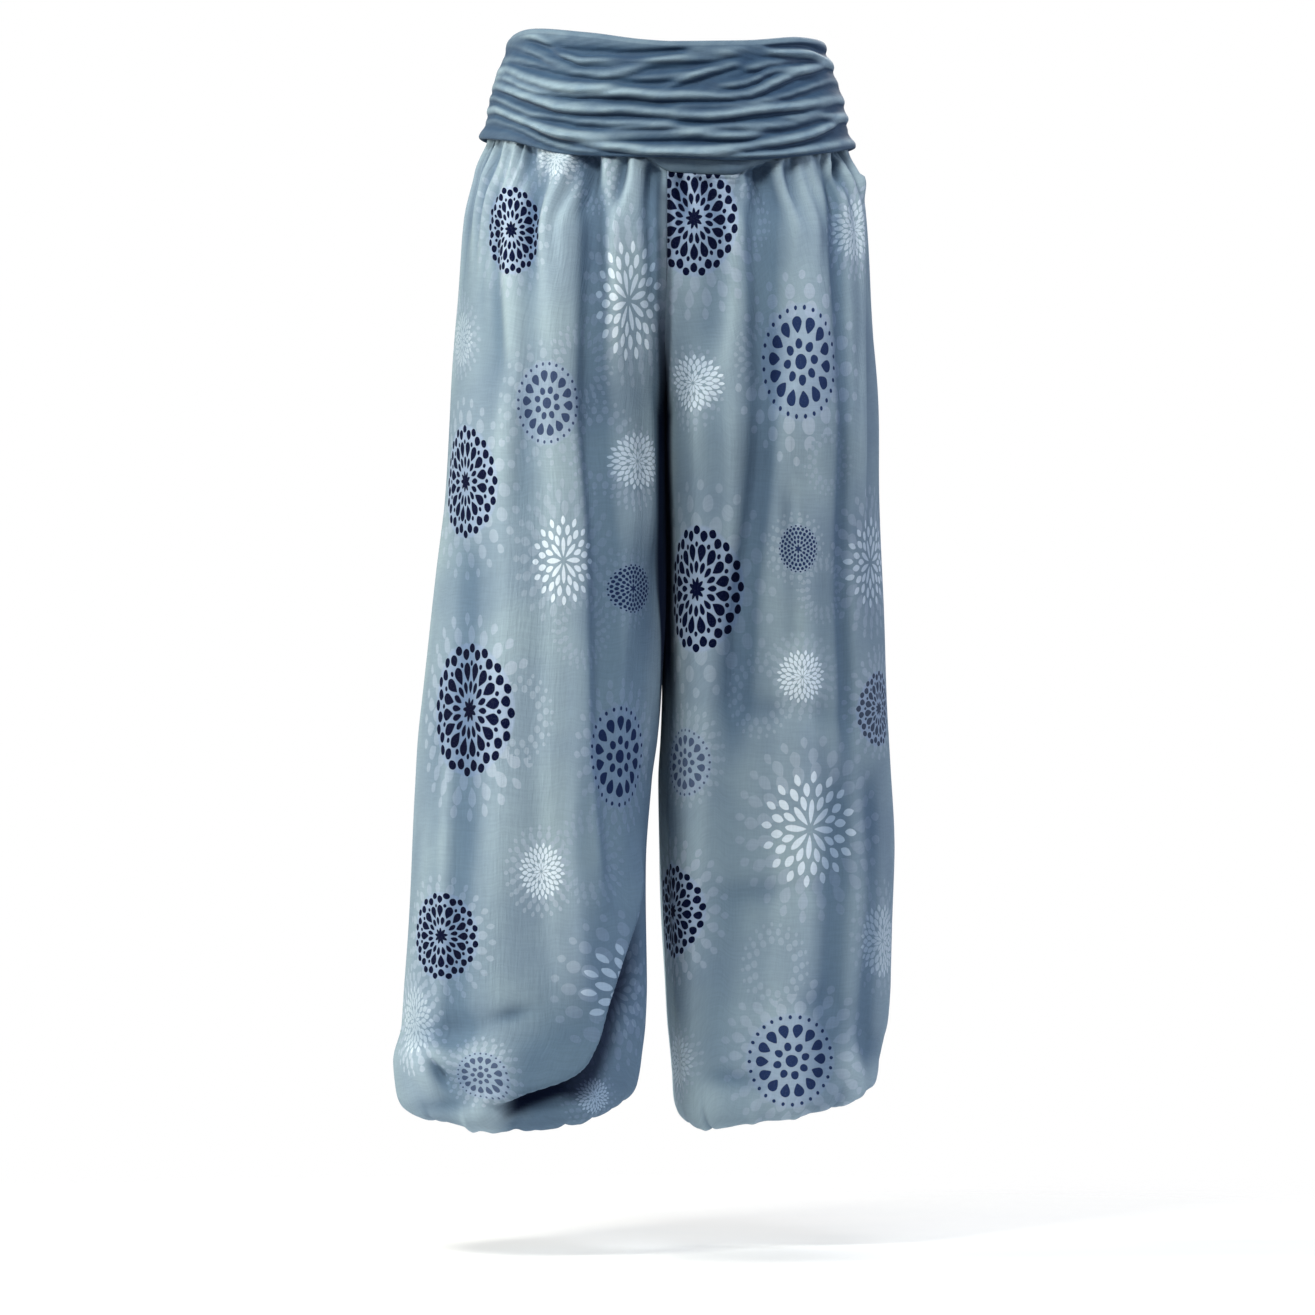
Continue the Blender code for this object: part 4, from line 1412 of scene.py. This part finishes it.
@dataclass
class LegPanel:
    """One printed leg panel with its gathers, folds, swag and print."""

    leg: Leg
    half: Half
    folds: tuple[Fold, ...]
    dents: tuple[Dent, ...]
    motifs: tuple[Motif, ...]
    seed: int
    columns: int
    swag: bool = False
    wall: float = 0.7
    main_gathers: int = 10
    small_gathers: int = 30
    puckers: int = 44
    waves: int = 9
    hem_pleats: int = 15
    stray_ghosts: int = 7
    seam_width: float = 205.0
    leg_width: float = 330.0
    relief_span: float = 24.0
    flat: tuple[float, float] = (0.365, 0.94)
    area: float = 0.34
    across: Array = field(init=False)
    level: Array = field(init=False)
    base: Array = field(init=False)
    along: Array = field(init=False)

    def __post_init__(self) -> None:
        """Lays out the panel: each point's share of the way from outer to inner seam, its row's
        level, its place without folds and how far along its row it lies."""
        shares = np.linspace(0, 1, self.columns + 1)
        self.across, self.level = np.meshgrid(shares, self.levels())
        self.base = self.leg.base(self.half, self.across, self.level)
        self.along = run_along(self.base, 1)

    @property
    def name(self) -> str:
        """The panel's name."""
        return f"{self.leg.name}_{self.half.name.lower()}"

    def levels(self) -> Array:
        """The rows' levels, closest where the gathers and the bloused turn are."""
        return steps((97, 100, 2), (100, 112, 7), (112, 180, 27), (180, 335, 34),
                     (335, 740, 68), (740, TURN_TOP, 48), (TURN_TOP, LAST_LEVEL, 54))

    def first_row(self, level: float) -> int:
        """The first row that lies below a level."""
        return int(np.argmax(self.level[:, 0] > level))

    def long_folds(self) -> Array:
        """The long folds, each steeper on one side and with a flattened crest.

        Returns:
            How far the cloth stands out.
        """
        x, along, level = self.leg.side * self.base[..., 0], self.along, self.level
        total = np.zeros_like(level)
        for fold in self.folds:
            middle = follow(FOLD_LEVELS, fold[5:], level[:, 0])
            middle = middle + 1.8 * np.sin(level[:, 0] / 47.0 + fold.at_130)
            ends = smooth((level - fold.start) / 50) * smooth((fold.end - level) / 130)
            if fold.start < 110:
                ends = smooth((level - 98) / 9) * smooth((fold.end - level) / 130)
            place = [np.interp(-m, -row, run) for m, row, run in zip(middle, x, along)]
            away = along - np.array(place)[:, None]
            width = np.where(away < 0, fold.outward, fold.inward)
            total += fold.height * ends * np.exp(-(np.abs(away / width) ** 2.4))
        return total

    def gathers(self) -> Array:
        """The gathers that run down from the waist seam, uneven in place and reach.

        Returns:
            How far the cloth stands out.
        """
        chance = np.random.default_rng(self.seed)
        across, level = self.across, self.level
        side, half = int(self.leg.side), int(self.half)
        uneven = across + 0.010 * np.sin(2 * np.pi * (2 * across + 0.3 * side + 0.2 * half))
        wave = np.cos(2 * np.pi * self.main_gathers * uneven)
        reach = 80 + 35 * np.sin(2 * np.pi * (3.1 * across + 0.17 * half)) * side
        below = np.maximum(level - SEAM_LEVEL, 0)
        total = 2.6 * wave * smooth((below - 1) / 12) * (1 - smooth((below - 25) / reach))
        for number in range(self.small_gathers):
            place = (number + chance.uniform(0.15, 0.85)) / self.small_gathers
            height = chance.uniform(1.2, 3.2) * chance.choice((-1, 1, -1))
            width = chance.uniform(2.6, 5.0)
            reach = chance.uniform(26, 120) if number % 4 else chance.uniform(120, 260)
            drift = chance.uniform(-5, 5)
            away = (across - place) * self.seam_width - drift * np.minimum(below / 150, 2.0)
            fade = np.exp(-((below / reach) ** 1.6)) * smooth(below / 5)
            total += height * fade * bell(away, width * (1 + below / 110))
        for number in range(self.puckers):
            place = (number + chance.uniform(0.1, 0.9)) / self.puckers
            height = chance.uniform(1.1, 2.3) * chance.choice((-1, 1))
            reach = chance.uniform(10, 44)
            away = (across - place) * self.seam_width
            fade = np.exp(-((below / reach) ** 1.5)) * smooth((below + 2) / 4)
            total += height * fade * bell(away, chance.uniform(1.7, 2.6) * (1 + below / 60))
        return total

    def undulation(self) -> Array:
        """The broad soft waves of a very full leg, wandering on the way down.

        Returns:
            How far the cloth stands out.
        """
        chance = np.random.default_rng(self.seed + 50)
        across, level = self.across, self.level
        total = np.zeros_like(across)
        for number in range(self.waves):
            place = (number + chance.uniform(0.1, 0.9)) / self.waves
            height = chance.uniform(1.0, 2.6) * (-1) ** number
            width = chance.uniform(7, 16)
            middle = chance.uniform(250, 820)
            length = chance.uniform(120, 330)
            wander = chance.uniform(4, 12) * np.sin(level / chance.uniform(90, 160) + number)
            away = (across - place) * self.leg_width - wander
            total += height * bell(away, width) * bell(level - middle, length)
        total += 0.7 * np.sin(level / 31 + 9 * across + self.seed) * np.sin(17 * across + 1.3)
        return total * smooth((level - 150) / 120)

    def pleats(self) -> Array:
        """The pleats that gather the bloused hem into its casing.

        Returns:
            How far the cloth stands out.
        """
        chance = np.random.default_rng(self.seed + 90)
        across, level = self.across, self.level
        total = np.zeros_like(across)
        for number in range(self.hem_pleats):
            place = (number + chance.uniform(0.2, 0.8)) / self.hem_pleats
            height = chance.uniform(1.5, 3.4) * chance.choice((-1, 1))
            start = chance.uniform(905, 945)
            width = chance.uniform(0.010, 0.018)
            lean = chance.uniform(-0.02, 0.02)
            away = across - place - lean * (level - LAST_LEVEL) / 80
            total += height * smooth((level - start) / 45) * bell(away, width)
        return total * (1 - smooth((level - 968) / 14))

    def hollows(self) -> Array:
        """The short hollows and swellings placed one by one.

        Returns:
            How far the cloth stands out.
        """
        total = np.zeros_like(self.level)
        beside, below = np.abs(self.base[..., 0]), -self.base[..., 2]
        facing = smooth(np.gradient(below, axis=0) / 0.2)
        for dent in self.dents:
            down = (below - dent.below) / dent.down
            across = (beside - dent.beside - dent.lean * down) / dent.across
            total += dent.height * np.exp(-(down**2) - across**2) * facing
        return total

    def crease_gap(self) -> tuple[Array, Array]:
        """Where each point lies beside the swag's crease, as seen from the front.

        Returns:
            The distance from the crease, positive on the upper, outer side, which hangs over the
            other, and the direction square to the crease.
        """
        x, depth = np.abs(self.base[..., 0]), -self.base[..., 2]
        best = np.full(x.shape, 1e9)
        signed = np.zeros_like(x)
        push = np.zeros((*x.shape, 2))
        for (x0, d0), (x1, d1) in zip(SWAG_LINE, SWAG_LINE[1:]):
            run = np.array([x1 - x0, d1 - d0], float)
            length = np.hypot(*run)
            run /= length
            along = np.clip((x - x0) * run[0] + (depth - d0) * run[1], 0, length)
            gap_x, gap_d = x - x0 - along * run[0], depth - d0 - along * run[1]
            gap = np.hypot(gap_x, gap_d)
            nearer = gap < best
            best = np.where(nearer, gap, best)
            signed = np.where(nearer, np.sign(gap_x * run[1] - gap_d * run[0]) * gap, signed)
            push = np.where(nearer[..., None], np.array([-run[1], run[0]]), push)
        return signed, push

    def overhang(self, normal: Array) -> tuple[Array, ...]:
        """The swag low on the right leg's front, where the cloth hangs over itself.

        Args:
            normal: The normals of the points without folds.

        Returns:
            How far the cloth stands out, how far it slides over the crease, as points, the painted
            shade in the crease, and the painted shade where the upper layer turns away from the
            light above it.
        """
        slide = np.zeros_like(self.base)
        if not self.swag:
            flat = np.zeros_like(self.level)
            return flat, slide, flat, flat
        x, depth = np.abs(self.base[..., 0]), -self.base[..., 2]
        signed, push = self.crease_gap()
        ends = smooth((depth - 690) / 90) * smooth((TURN_TOP + 74 - self.level) / 16)
        ends = ends * smooth((168 - x) / 30) * smooth((0.965 - self.across) / 0.12)
        over = np.where(signed > 0, bell(signed, 32), 1.0) * smooth((signed + 5) / 7)
        under = bell(np.minimum(signed, 0), 30) * smooth((1 - signed) / 7)
        low = smooth((x - 72) / 24)
        height = (8.5 * over - mix(9.0, 13.0, low) * under) * ends
        shift = 11.0 * bell(signed, 16) * smooth((signed + 5) / 7) * ends
        slide[..., 0] = self.leg.side * push[..., 0] * shift
        slide[..., 2] = -push[..., 1] * shift
        # Painted shade in the crease, on the lower layer under the overhang.
        shade = smooth((mix(-5, 1, low) - signed) / 7)
        shade = shade * (1 - smooth((-signed - mix(21, 17, low)) / mix(16, 9, low)))
        # The flank is lit from the side, so the painted crease shade is fainter there.
        facing = smooth((np.abs(normal[..., 1]) - 0.2) / 0.3)
        shade = shade * mix(0.4, mix(0.88, 0.97, low), facing)
        shade = shade * smooth(ends * 1.5) * smooth((154 - x) / 24)
        # Painted shade on the upper layer where it turns away from the light, strongest at the
        # crease.
        painted_lee_shade = np.where(signed > 0, bell(signed, 44), 1.0) * smooth((depth - 560) / 200)
        return height, slide, shade, painted_lee_shade * smooth((168 - x) / 60)

    def outward_normals(self) -> Array:
        """The directions in which the folds stand out.

        Returns:
            The unit normals, which lie level under the waistband, where there is no other room.
        """
        normal, level = normals_of(self.base), self.level
        middle = column(self.leg.sections, "level", "middle", level)
        centre = np.stack([self.leg.side * LEG_MIDDLE + 0 * level, middle], -1)
        outward = np.sum((self.base[..., :2] - centre) * normal[..., :2], axis=-1)
        normal = normal * np.sign(outward[level < 800].sum())
        normal[..., 2] *= smooth((level - 112) / 60)
        return unit(normal)

    def between_legs(self) -> Array:
        """How deep each point lies in the painted shade between the legs.

        Returns:
            The painted shade, from 0 to 1.
        """
        level = self.level
        edge = 10.0 if self.leg.side == Side.RIGHT else 6.0
        shade = smooth((edge - self.leg.side * self.base[..., 0]) / 4)
        deep = 0.55 * smooth((level - 104) / 30) + 0.15 * smooth((level - 215) / 70)
        deep = deep + 0.28 * smooth((level - 270) / 80)
        front = self.half == Half.FRONT
        share, opens, span = (1.0, 545, 110) if front else (0.6, 400, 130)
        shade = shade * (share * deep) * (1 - smooth((level - opens) / span))
        shade = shade * smooth((self.across - 0.5) / 0.2)
        if front and self.leg.side == Side.RIGHT:
            # The other leg, a step behind, doesn't cover the foremost part, so it gets no painted
            # shade.
            shade = shade * smooth((self.base[..., 1] + 104 - 0.185 * (level - 480)) / 8)
        return shade

    def places(self) -> tuple[Array, Array]:
        """Every place of the panel.

        Returns:
            The places with all folds, in millimetres, and the map that paints light and shade into
            the colour:
            the folds' relief, which is a half where the cloth lies on its mean surface, and the
            painted shade in the crease, between the legs and in the deepest hollows.
        """
        base, across, level = self.base, self.across, self.level
        normal = self.outward_normals()
        swag, slide, painted_crease_shade, painted_lee_shade = self.overhang(normal)
        for axis in (0, 1, 0, 1):
            swag, slide = soften(swag, axis), soften(slide, axis)
        height = self.long_folds() + self.gathers() + self.undulation() + self.pleats()
        # Under the band's free edge there is little room to stand out.
        free = self.leg.band.line(self.leg.band.free_edge, self.leg.degrees(self.half, across))
        room = 4.5 + 0.5 * np.maximum(free - base[..., 2], 0.0)
        height = np.where(height > 0, room * np.tanh(height / room), height)
        hollows = self.hollows()
        calm = smooth(np.minimum(across, 1 - across) / 0.035)
        flush = calm * (1 - smooth((level - 975) / 10))
        height = (height + hollows + swag) * flush
        # Painted shade inside the deepest hollows.
        painted_slit_shade = 0.85 * smooth((-hollows - 6.6) / 1.8)
        shade = np.maximum(np.maximum(self.between_legs(), painted_crease_shade), painted_slit_shade)
        # Painted light and shade from the folds' relief, without the swag's own height, and painted
        # shade on the swag's lee side.
        shown = 0.5 + (height - swag * flush - 6.5 * painted_lee_shade) / self.relief_span
        # Painted light: the left leg's inner edge, in the other leg's shadow from the crotch down,
        # is drawn paler.
        if self.leg.side == Side.LEFT:
            shown = shown + 0.2 * smooth((22 - base[..., 0]) / 14) * smooth((level - 480) / 100)
        placed = base + normal * height[..., None] + slide * calm[..., None]
        return placed, np.stack([shown, shade], axis=-1)

    def row_and_column(self, beside: float, below: float) -> tuple[int, float]:
        """Where on the panel a place as seen from the front or back lies.

        Args:
            beside: Distance from the centre plane.
            below: Depth below the waist.

        Returns:
            The nearest row, and the column with its fraction.
        """
        x, depth = self.leg.side * self.base[..., 0], -self.base[..., 2]
        col, row = (self.columns + 1) / 2, 0
        wall = self.first_row(TURN_TOP + 58)
        for _ in range(6):
            near = int(np.clip(round(col), 0, self.columns))
            row = int(np.argmin(np.abs(depth[:wall, near] - below)))
            col = float(np.interp(-beside, -x[row], np.arange(self.columns + 1)))
        return row, col

    def half_size(self, motif: Motif, sign: int) -> float | None:
        """How far a motif reaches on the cloth to one side.

        Args:
            motif: The motif.
            sign: 1 towards the outer side, -1 towards the inner one.

        Returns:
            The length in millimetres, or None if the motif runs round the panel's edge there.
        """
        row, col = self.row_and_column(motif.beside, motif.below)
        x = self.leg.side * self.base[row, :, 0]
        edge = motif.beside + sign * motif.width / 2
        if not x.min() + 2 < edge < x.max() - 2:
            return None
        other = self.row_and_column(edge, motif.below)[1]
        ends = np.interp([col, other], np.arange(len(x)), self.along[row])
        return float(abs(ends[1] - ends[0]))

    def spot(self, down: Array, motif: Motif) -> Array:
        """Where each point lies from a motif's middle.

        Args:
            down: How far each point lies below the waist, measured on the cloth in the turn.
            motif: The motif.

        Returns:
            The offsets in the motif's half sizes, turned with it.
        """
        columns, along = np.arange(self.columns + 1), self.along
        row, col = self.row_and_column(motif.beside, motif.below)
        outer, inner = (self.half_size(motif, sign) for sign in (1, -1))
        outer, inner = outer or inner, inner or outer
        outer = np.clip(outer, 0.8 * inner, 1.25 * inner)
        outer, inner = (min(size, 0.6 * motif.height) for size in (outer, inner))
        # Down to the turn a motif keeps its distance from the centre plane, then its column.
        wall = self.first_row(TURN_TOP + 50)
        places = [
            np.interp(-motif.beside, -line, lengths)
            for line, lengths in zip(self.leg.side * self.base[:wall, :, 0], along)
        ]
        held = np.interp(col, columns, along[wall - 1]) - places[-1]
        places += [np.interp(col, columns, lengths) - held for lengths in along[wall:]]
        aside = along - np.array(places)[:, None]
        aside = np.where(aside < 0, aside / outer, aside / inner)
        aloft = -(down - down[row, int(col)]) / (motif.height / 2)
        cos, sin = np.cos(2 * np.pi * motif.turn), np.sin(2 * np.pi * motif.turn)
        return np.stack([aside * cos - aloft * sin, aside * sin + aloft * cos], axis=-1)

    def print_maps(self, shown: Sequence[Motif]) -> tuple[Array, Array]:
        """The maps that place the motifs: for each face, its corners' offsets from the motif that
        owns the face, and which motif it is.

        Args:
            shown: The motifs.

        Returns:
            The offsets, in motif radii, and the motifs' numbers and strengths, both by row,
            column and the two steps of each face's corner.
        """
        down, depth = run_along(self.base, 0), -self.base[..., 2]
        last = self.first_row(TURN_TOP) - 1
        down = down - down[last] + depth[last]
        down[:last] = depth[:last]
        best = np.full_like(self.level[1:, 1:], 1e9)
        past = self.crease_gap()[0][1:, :-1] < -2 if self.swag else best < 0
        offsets = np.full((*best.shape, 2, 2, 2), 9.0)
        kinds = np.zeros_like(offsets)
        for motif in shown:
            spot = self.spot(down, motif)
            upper = np.stack([spot[:-1, :-1], spot[:-1, 1:]], axis=2)
            lower = np.stack([spot[1:, :-1], spot[1:, 1:]], axis=2)
            corners = np.stack([upper, lower], axis=2)
            away = np.linalg.norm(corners, axis=-1).min(axis=(2, 3))
            mine = (away < best) & (away < 1.12)
            best = np.where(mine, away, best)
            offsets[mine] = corners[mine]
            kinds[mine] = ((motif.flower + 0.5) / FLOWER_PLACES, motif.strength)
            if motif.tucked:
                kinds[mine & past, ..., 1] *= 0.3
        return offsets, kinds

    def ghosts(self) -> list[Motif]:
        """Strews the pale ghosts.

        Returns:
            One that rings each motif, and a few more between them.
        """
        chance = np.random.default_rng(self.seed + 7)
        found = []
        for number, motif in enumerate(self.motifs):
            kind = Flower.DOT_HALO if number % 3 == 1 else Flower.PETAL_HALO
            grow = chance.uniform(1.5, 1.75)
            beside = motif.beside + chance.uniform(-3, 3)
            below = motif.below + chance.uniform(-4, 4)
            strength, turn = chance.uniform(0.5, 0.85), chance.uniform(0, 0.5)
            width, height = motif.width * grow, motif.height * grow
            found.append(Motif(kind, beside, below, width, height, turn, strength))
        for number in range(self.stray_ghosts):
            kind = Flower.PETAL_HALO if number % 2 else Flower.DOT_HALO
            size = chance.uniform(60, 90)
            beside = chance.uniform(20, 190)
            below = 150 + 115 * number + chance.uniform(-30, 30)
            strength, turn = chance.uniform(0.5, 0.8), chance.uniform(0, 0.5)
            found.append(Motif(kind, beside, below, size * 0.75, size, turn, strength))
        return found

    def piece(self) -> ClothPiece:
        """Cuts the panel.

        Returns:
            The piece, ready to sew.
        """
        places, relief = self.places()
        motif, flower = self.print_maps(self.motifs)
        ghost, ghost_flower = self.print_maps(self.ghosts())
        return ClothPiece(
            name=f"viscose_leg_{self.name}", node=f"leg_{self.name}", slot="printed_viscose",
            places=places, wall=self.wall, flat=self.flat, area=self.area, held=Hold.GATHERED,
            outward_from=(self.leg.side * LEG_MIDDLE, 0),
            maps={
                "cloth": cloth_map(places), "motif": motif, "flower": flower, "ghost": ghost,
                "ghost_flower": ghost_flower, "relief": relief,
            },
        )


@dataclass
class AnkleCasing:
    """The gathered casing of elastic that closes a leg, inside the bloused hem."""

    leg: Leg
    height: float = 20.0
    wall: float = 1.4
    columns: int = 192
    ripples: int = 24
    flat: tuple[float, float] = (0.28, 0.022)
    area: float = 0.0058

    def piece(self) -> ClothPiece:
        """Cuts the casing.

        Returns:
            The piece, ready to sew.
        """
        turns, down = np.meshgrid(np.linspace(0, 1, self.columns + 1), steps((0, 1, 16)))
        angle = 2 * np.pi * turns
        pinch = 0.5 * np.cos(3 * np.pi * down) ** 2
        ripple = np.cos(self.ripples * angle + 0.9 * np.sin(3 * angle)) * (0.9 - pinch)
        radius = self.leg.ankle_radius + ripple
        middle = column(self.leg.sections, "level", "middle", LOWEST_RING)
        x = self.leg.side * self.leg.ankle + radius * np.cos(angle)
        height = -self.leg.casing_top - SEAM_GAP / 2 - self.height * down
        places = np.stack([x, middle + radius * np.sin(angle), height], axis=-1)
        cloth = cloth_map(places)
        return ClothPiece(
            name=f"elastic_casing_{self.leg.name}", node=f"ankle_casing_{self.leg.name}",
            slot="casing_cloth", places=places, wall=self.wall, flat=self.flat, area=self.area,
            held=Hold.GATHERED, outward_from=(self.leg.side * self.leg.ankle, float(middle)),
            # The relief map paints the whole casing evenly darker with the valley shade and the
            # crease shade.
            maps={"cloth": cloth, "relief": np.full_like(cloth, 0.4)}, closed=True,
        )


# ---- studio


class Lamp(NamedTuple):
    """A soft square lamp: its place and side in metres, its power in watts and its sRGB tint."""

    name: str
    place: tuple[float, float, float]
    size: float
    power: float
    tint: str


@dataclass
class Studio:
    """A plain pale floor, soft light and the camera."""

    floor_height: float = -1.0845
    floor_radius: float = 1.5
    fade_from: float = 0.3
    paper: tuple[str, str] = ("#F1F2F3", "#F4F4F4")
    surround: str = "#C6D1E6"
    surround_strength: float = 0.12
    camera_distance: float = 9.0
    view_width: float = 1.1835
    aim: tuple[float, float] = (-0.00855, -0.55125)
    middle: tuple[float, float, float] = (0, 0, -0.5)
    lamps: tuple[Lamp, ...] = (
        Lamp("key", (-1.1, -2.4, 1.8), 0.8, 84, "#FFFEF4"),
        Lamp("top", (0.3, -1.5, 2.2), 1.0, 28, "#FFFFFF"),
        Lamp("fill", (0.7, -4.5, 0.6), 2.4, 24, "#EAF0FC"),
        Lamp("left", (-3.6, -0.2, 0.6), 1.4, 150, "#FFFAEC"),
        Lamp("right", (3.8, 0.1, 0.6), 1.8, 76, "#EEF3FF"),
        Lamp("back", (0.8, 3.4, 1.8), 2.0, 90, "#FFFFFF"),
    )

    def floor(self) -> None:
        """A round pale floor that fades out towards its rim."""
        bm = bmesh.new()
        bmesh.ops.create_circle(bm, cap_ends=True, segments=96, radius=self.floor_radius)
        bmesh.ops.translate(bm, verts=bm.verts, vec=(0, 0, self.floor_height))
        mesh = bpy.data.meshes.new("studio_floor")
        bm.to_mesh(mesh)
        bm.free()
        material, tree, shader = new_material("matt_white_paper", {"Roughness": 0.9})
        place = add_node(tree, "TexCoord").outputs["Object"]
        grain = add_node(tree, "TexNoise", place, named={"Scale": 6.0, "Detail": 2.0})
        tone = add_node(tree, "MapRange", grain, 0.3, 0.7, 0.0, 1.0)
        colour = add_node(tree, "MixRGB", tone, *(linear(code) for code in self.paper))
        tree.links.new(colour.outputs[0], shader.inputs["Base Color"])
        axes = add_node(tree, "SeparateXYZ", place).outputs
        flat = add_node(tree, "CombineXYZ", axes[0], axes[1], 0.0)
        away = add_node(tree, "VectorMath", flat, operation="LENGTH").outputs["Value"]
        shown = add_node(
            tree, "MapRange", away, self.fade_from, self.floor_radius - 0.1, 1.0, 0.0,
            interpolation_type="SMOOTHSTEP",
        )
        tree.links.new(shown.outputs[0], shader.inputs["Alpha"])
        mesh.materials.append(material)
        link_object("studio_floor", mesh)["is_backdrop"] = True

    def light(self) -> None:
        """Sets up the lamps, each turned to the middle of the trousers."""
        for lamp in self.lamps:
            data = bpy.data.lights.new(lamp.name, "AREA")
            data.size, data.energy, data.color = lamp.size, lamp.power, linear(lamp.tint)[:3]
            made = link_object(lamp.name, data)
            made.location = lamp.place
            towards = Vector(self.middle) - Vector(lamp.place)
            made.rotation_euler = towards.to_track_quat("-Z", "Y").to_euler()

    def sky(self) -> None:
        """A white surround that lights the cloth only a little."""
        world = bpy.data.worlds.new("studio_surround")
        bpy.context.scene.world = world
        world.use_nodes = True
        tree = world.node_tree
        seen = add_node(tree, "LightPath").outputs["Is Camera Ray"]
        dim = tree.nodes["Background"]
        dim.inputs["Color"].default_value = linear(self.surround)
        dim.inputs["Strength"].default_value = self.surround_strength
        white = add_node(tree, "Background", (1.0, 1.0, 1.0, 1.0), 1.0)
        both = add_node(tree, "MixShader", seen, dim, white)
        tree.links.new(both.outputs[0], tree.nodes["World Output"].inputs["Surface"])

    def camera(self) -> None:
        """The camera, level and square to the front, far enough off to flatten the view."""
        data = bpy.data.cameras.new("camera")
        data.sensor_width = 36.0
        data.lens = 36.0 * self.camera_distance / self.view_width
        data.clip_end = 60.0
        camera = link_object("camera", data)
        camera.location = (self.aim[0], -self.camera_distance, self.aim[1])
        camera.rotation_euler = (np.pi / 2, 0, 0)
        bpy.context.scene.camera = camera

    def build(self) -> None:
        """Sets up floor, surround, camera and lamps."""
        self.floor()
        self.sky()
        self.camera()
        self.light()
        bpy.context.scene.view_settings.view_transform = "Standard"


# ---- the trousers


@dataclass
class HaremTrousers:
    """The whole garment."""

    band: Waistband = field(default_factory=Waistband)

    def legs(self) -> tuple[Leg, Leg]:
        """Lays out the legs.

        Returns:
            The right and the left leg.
        """
        right = Leg(
            "right", Side.RIGHT, RIGHT_SECTIONS, (957, 962, 970, 960, 944, 956, 968, 962), 132.0,
            self.band, square=0.18,
        )
        left = Leg(
            "left", Side.LEFT, LEFT_SECTIONS, (938, 956, 967, 976, 965, 962, 968, 952), 86.0,
            self.band, square=0.30, square_to=900.0,
        )
        return right, left

    def pieces(self) -> list[tuple[ClothPiece, Finish]]:
        """Cuts every piece of cloth.

        Returns:
            The pieces with their finishes, in the order they are sewn.
        """
        right, left = self.legs()
        panels = (
            LegPanel(
                right, Half.FRONT, RIGHT_FRONT_FOLDS, RIGHT_FRONT_DENTS, RIGHT_FRONT_PRINT,
                11, 172, swag=True,
            ),
            LegPanel(
                right, Half.BACK, RIGHT_BACK_FOLDS, RIGHT_BACK_DENTS, RIGHT_BACK_PRINT, 23, 128
            ),
            LegPanel(
                left, Half.FRONT, LEFT_FRONT_FOLDS, LEFT_FRONT_DENTS, LEFT_FRONT_PRINT, 35, 172
            ),
            LegPanel(left, Half.BACK, LEFT_BACK_FOLDS, LEFT_BACK_DENTS, LEFT_BACK_PRINT, 47, 128),
        )
        made = [(self.band.piece(half), Finish.JERSEY) for half in Half]
        made += [(panel.piece(), Finish.VISCOSE) for panel in panels]
        return made + [(AnkleCasing(leg).piece(), Finish.CASING) for leg in (right, left)]

    def build(self) -> None:
        """Sews every piece and dresses it."""
        finishes = {
            Finish.JERSEY: SlateJersey().material(),
            Finish.VISCOSE: PrintedViscose().material(),
            Finish.CASING: PrintedViscose(
                name="viscose_plain_weave_over_elastic", printed=False
            ).material(),
        }
        for piece, finish in self.pieces():
            obj = piece.sew(finishes[finish])
            logging.info("%s: %d vertices, %s", obj.name, len(obj.data.vertices), finish.value)


def main(cad_box: tuple[Vector, Vector]) -> None:
    """Builds the trousers and the studio.

    Args:
        cad_box: Lowest and highest corner of the solids; not used.
    """
    logging.basicConfig(level=logging.INFO, format="%(message)s")
    HaremTrousers().build()
    Studio().build()
    bpy.context.view_layer.update()


if __name__ == "__main__":
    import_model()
    main(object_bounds())
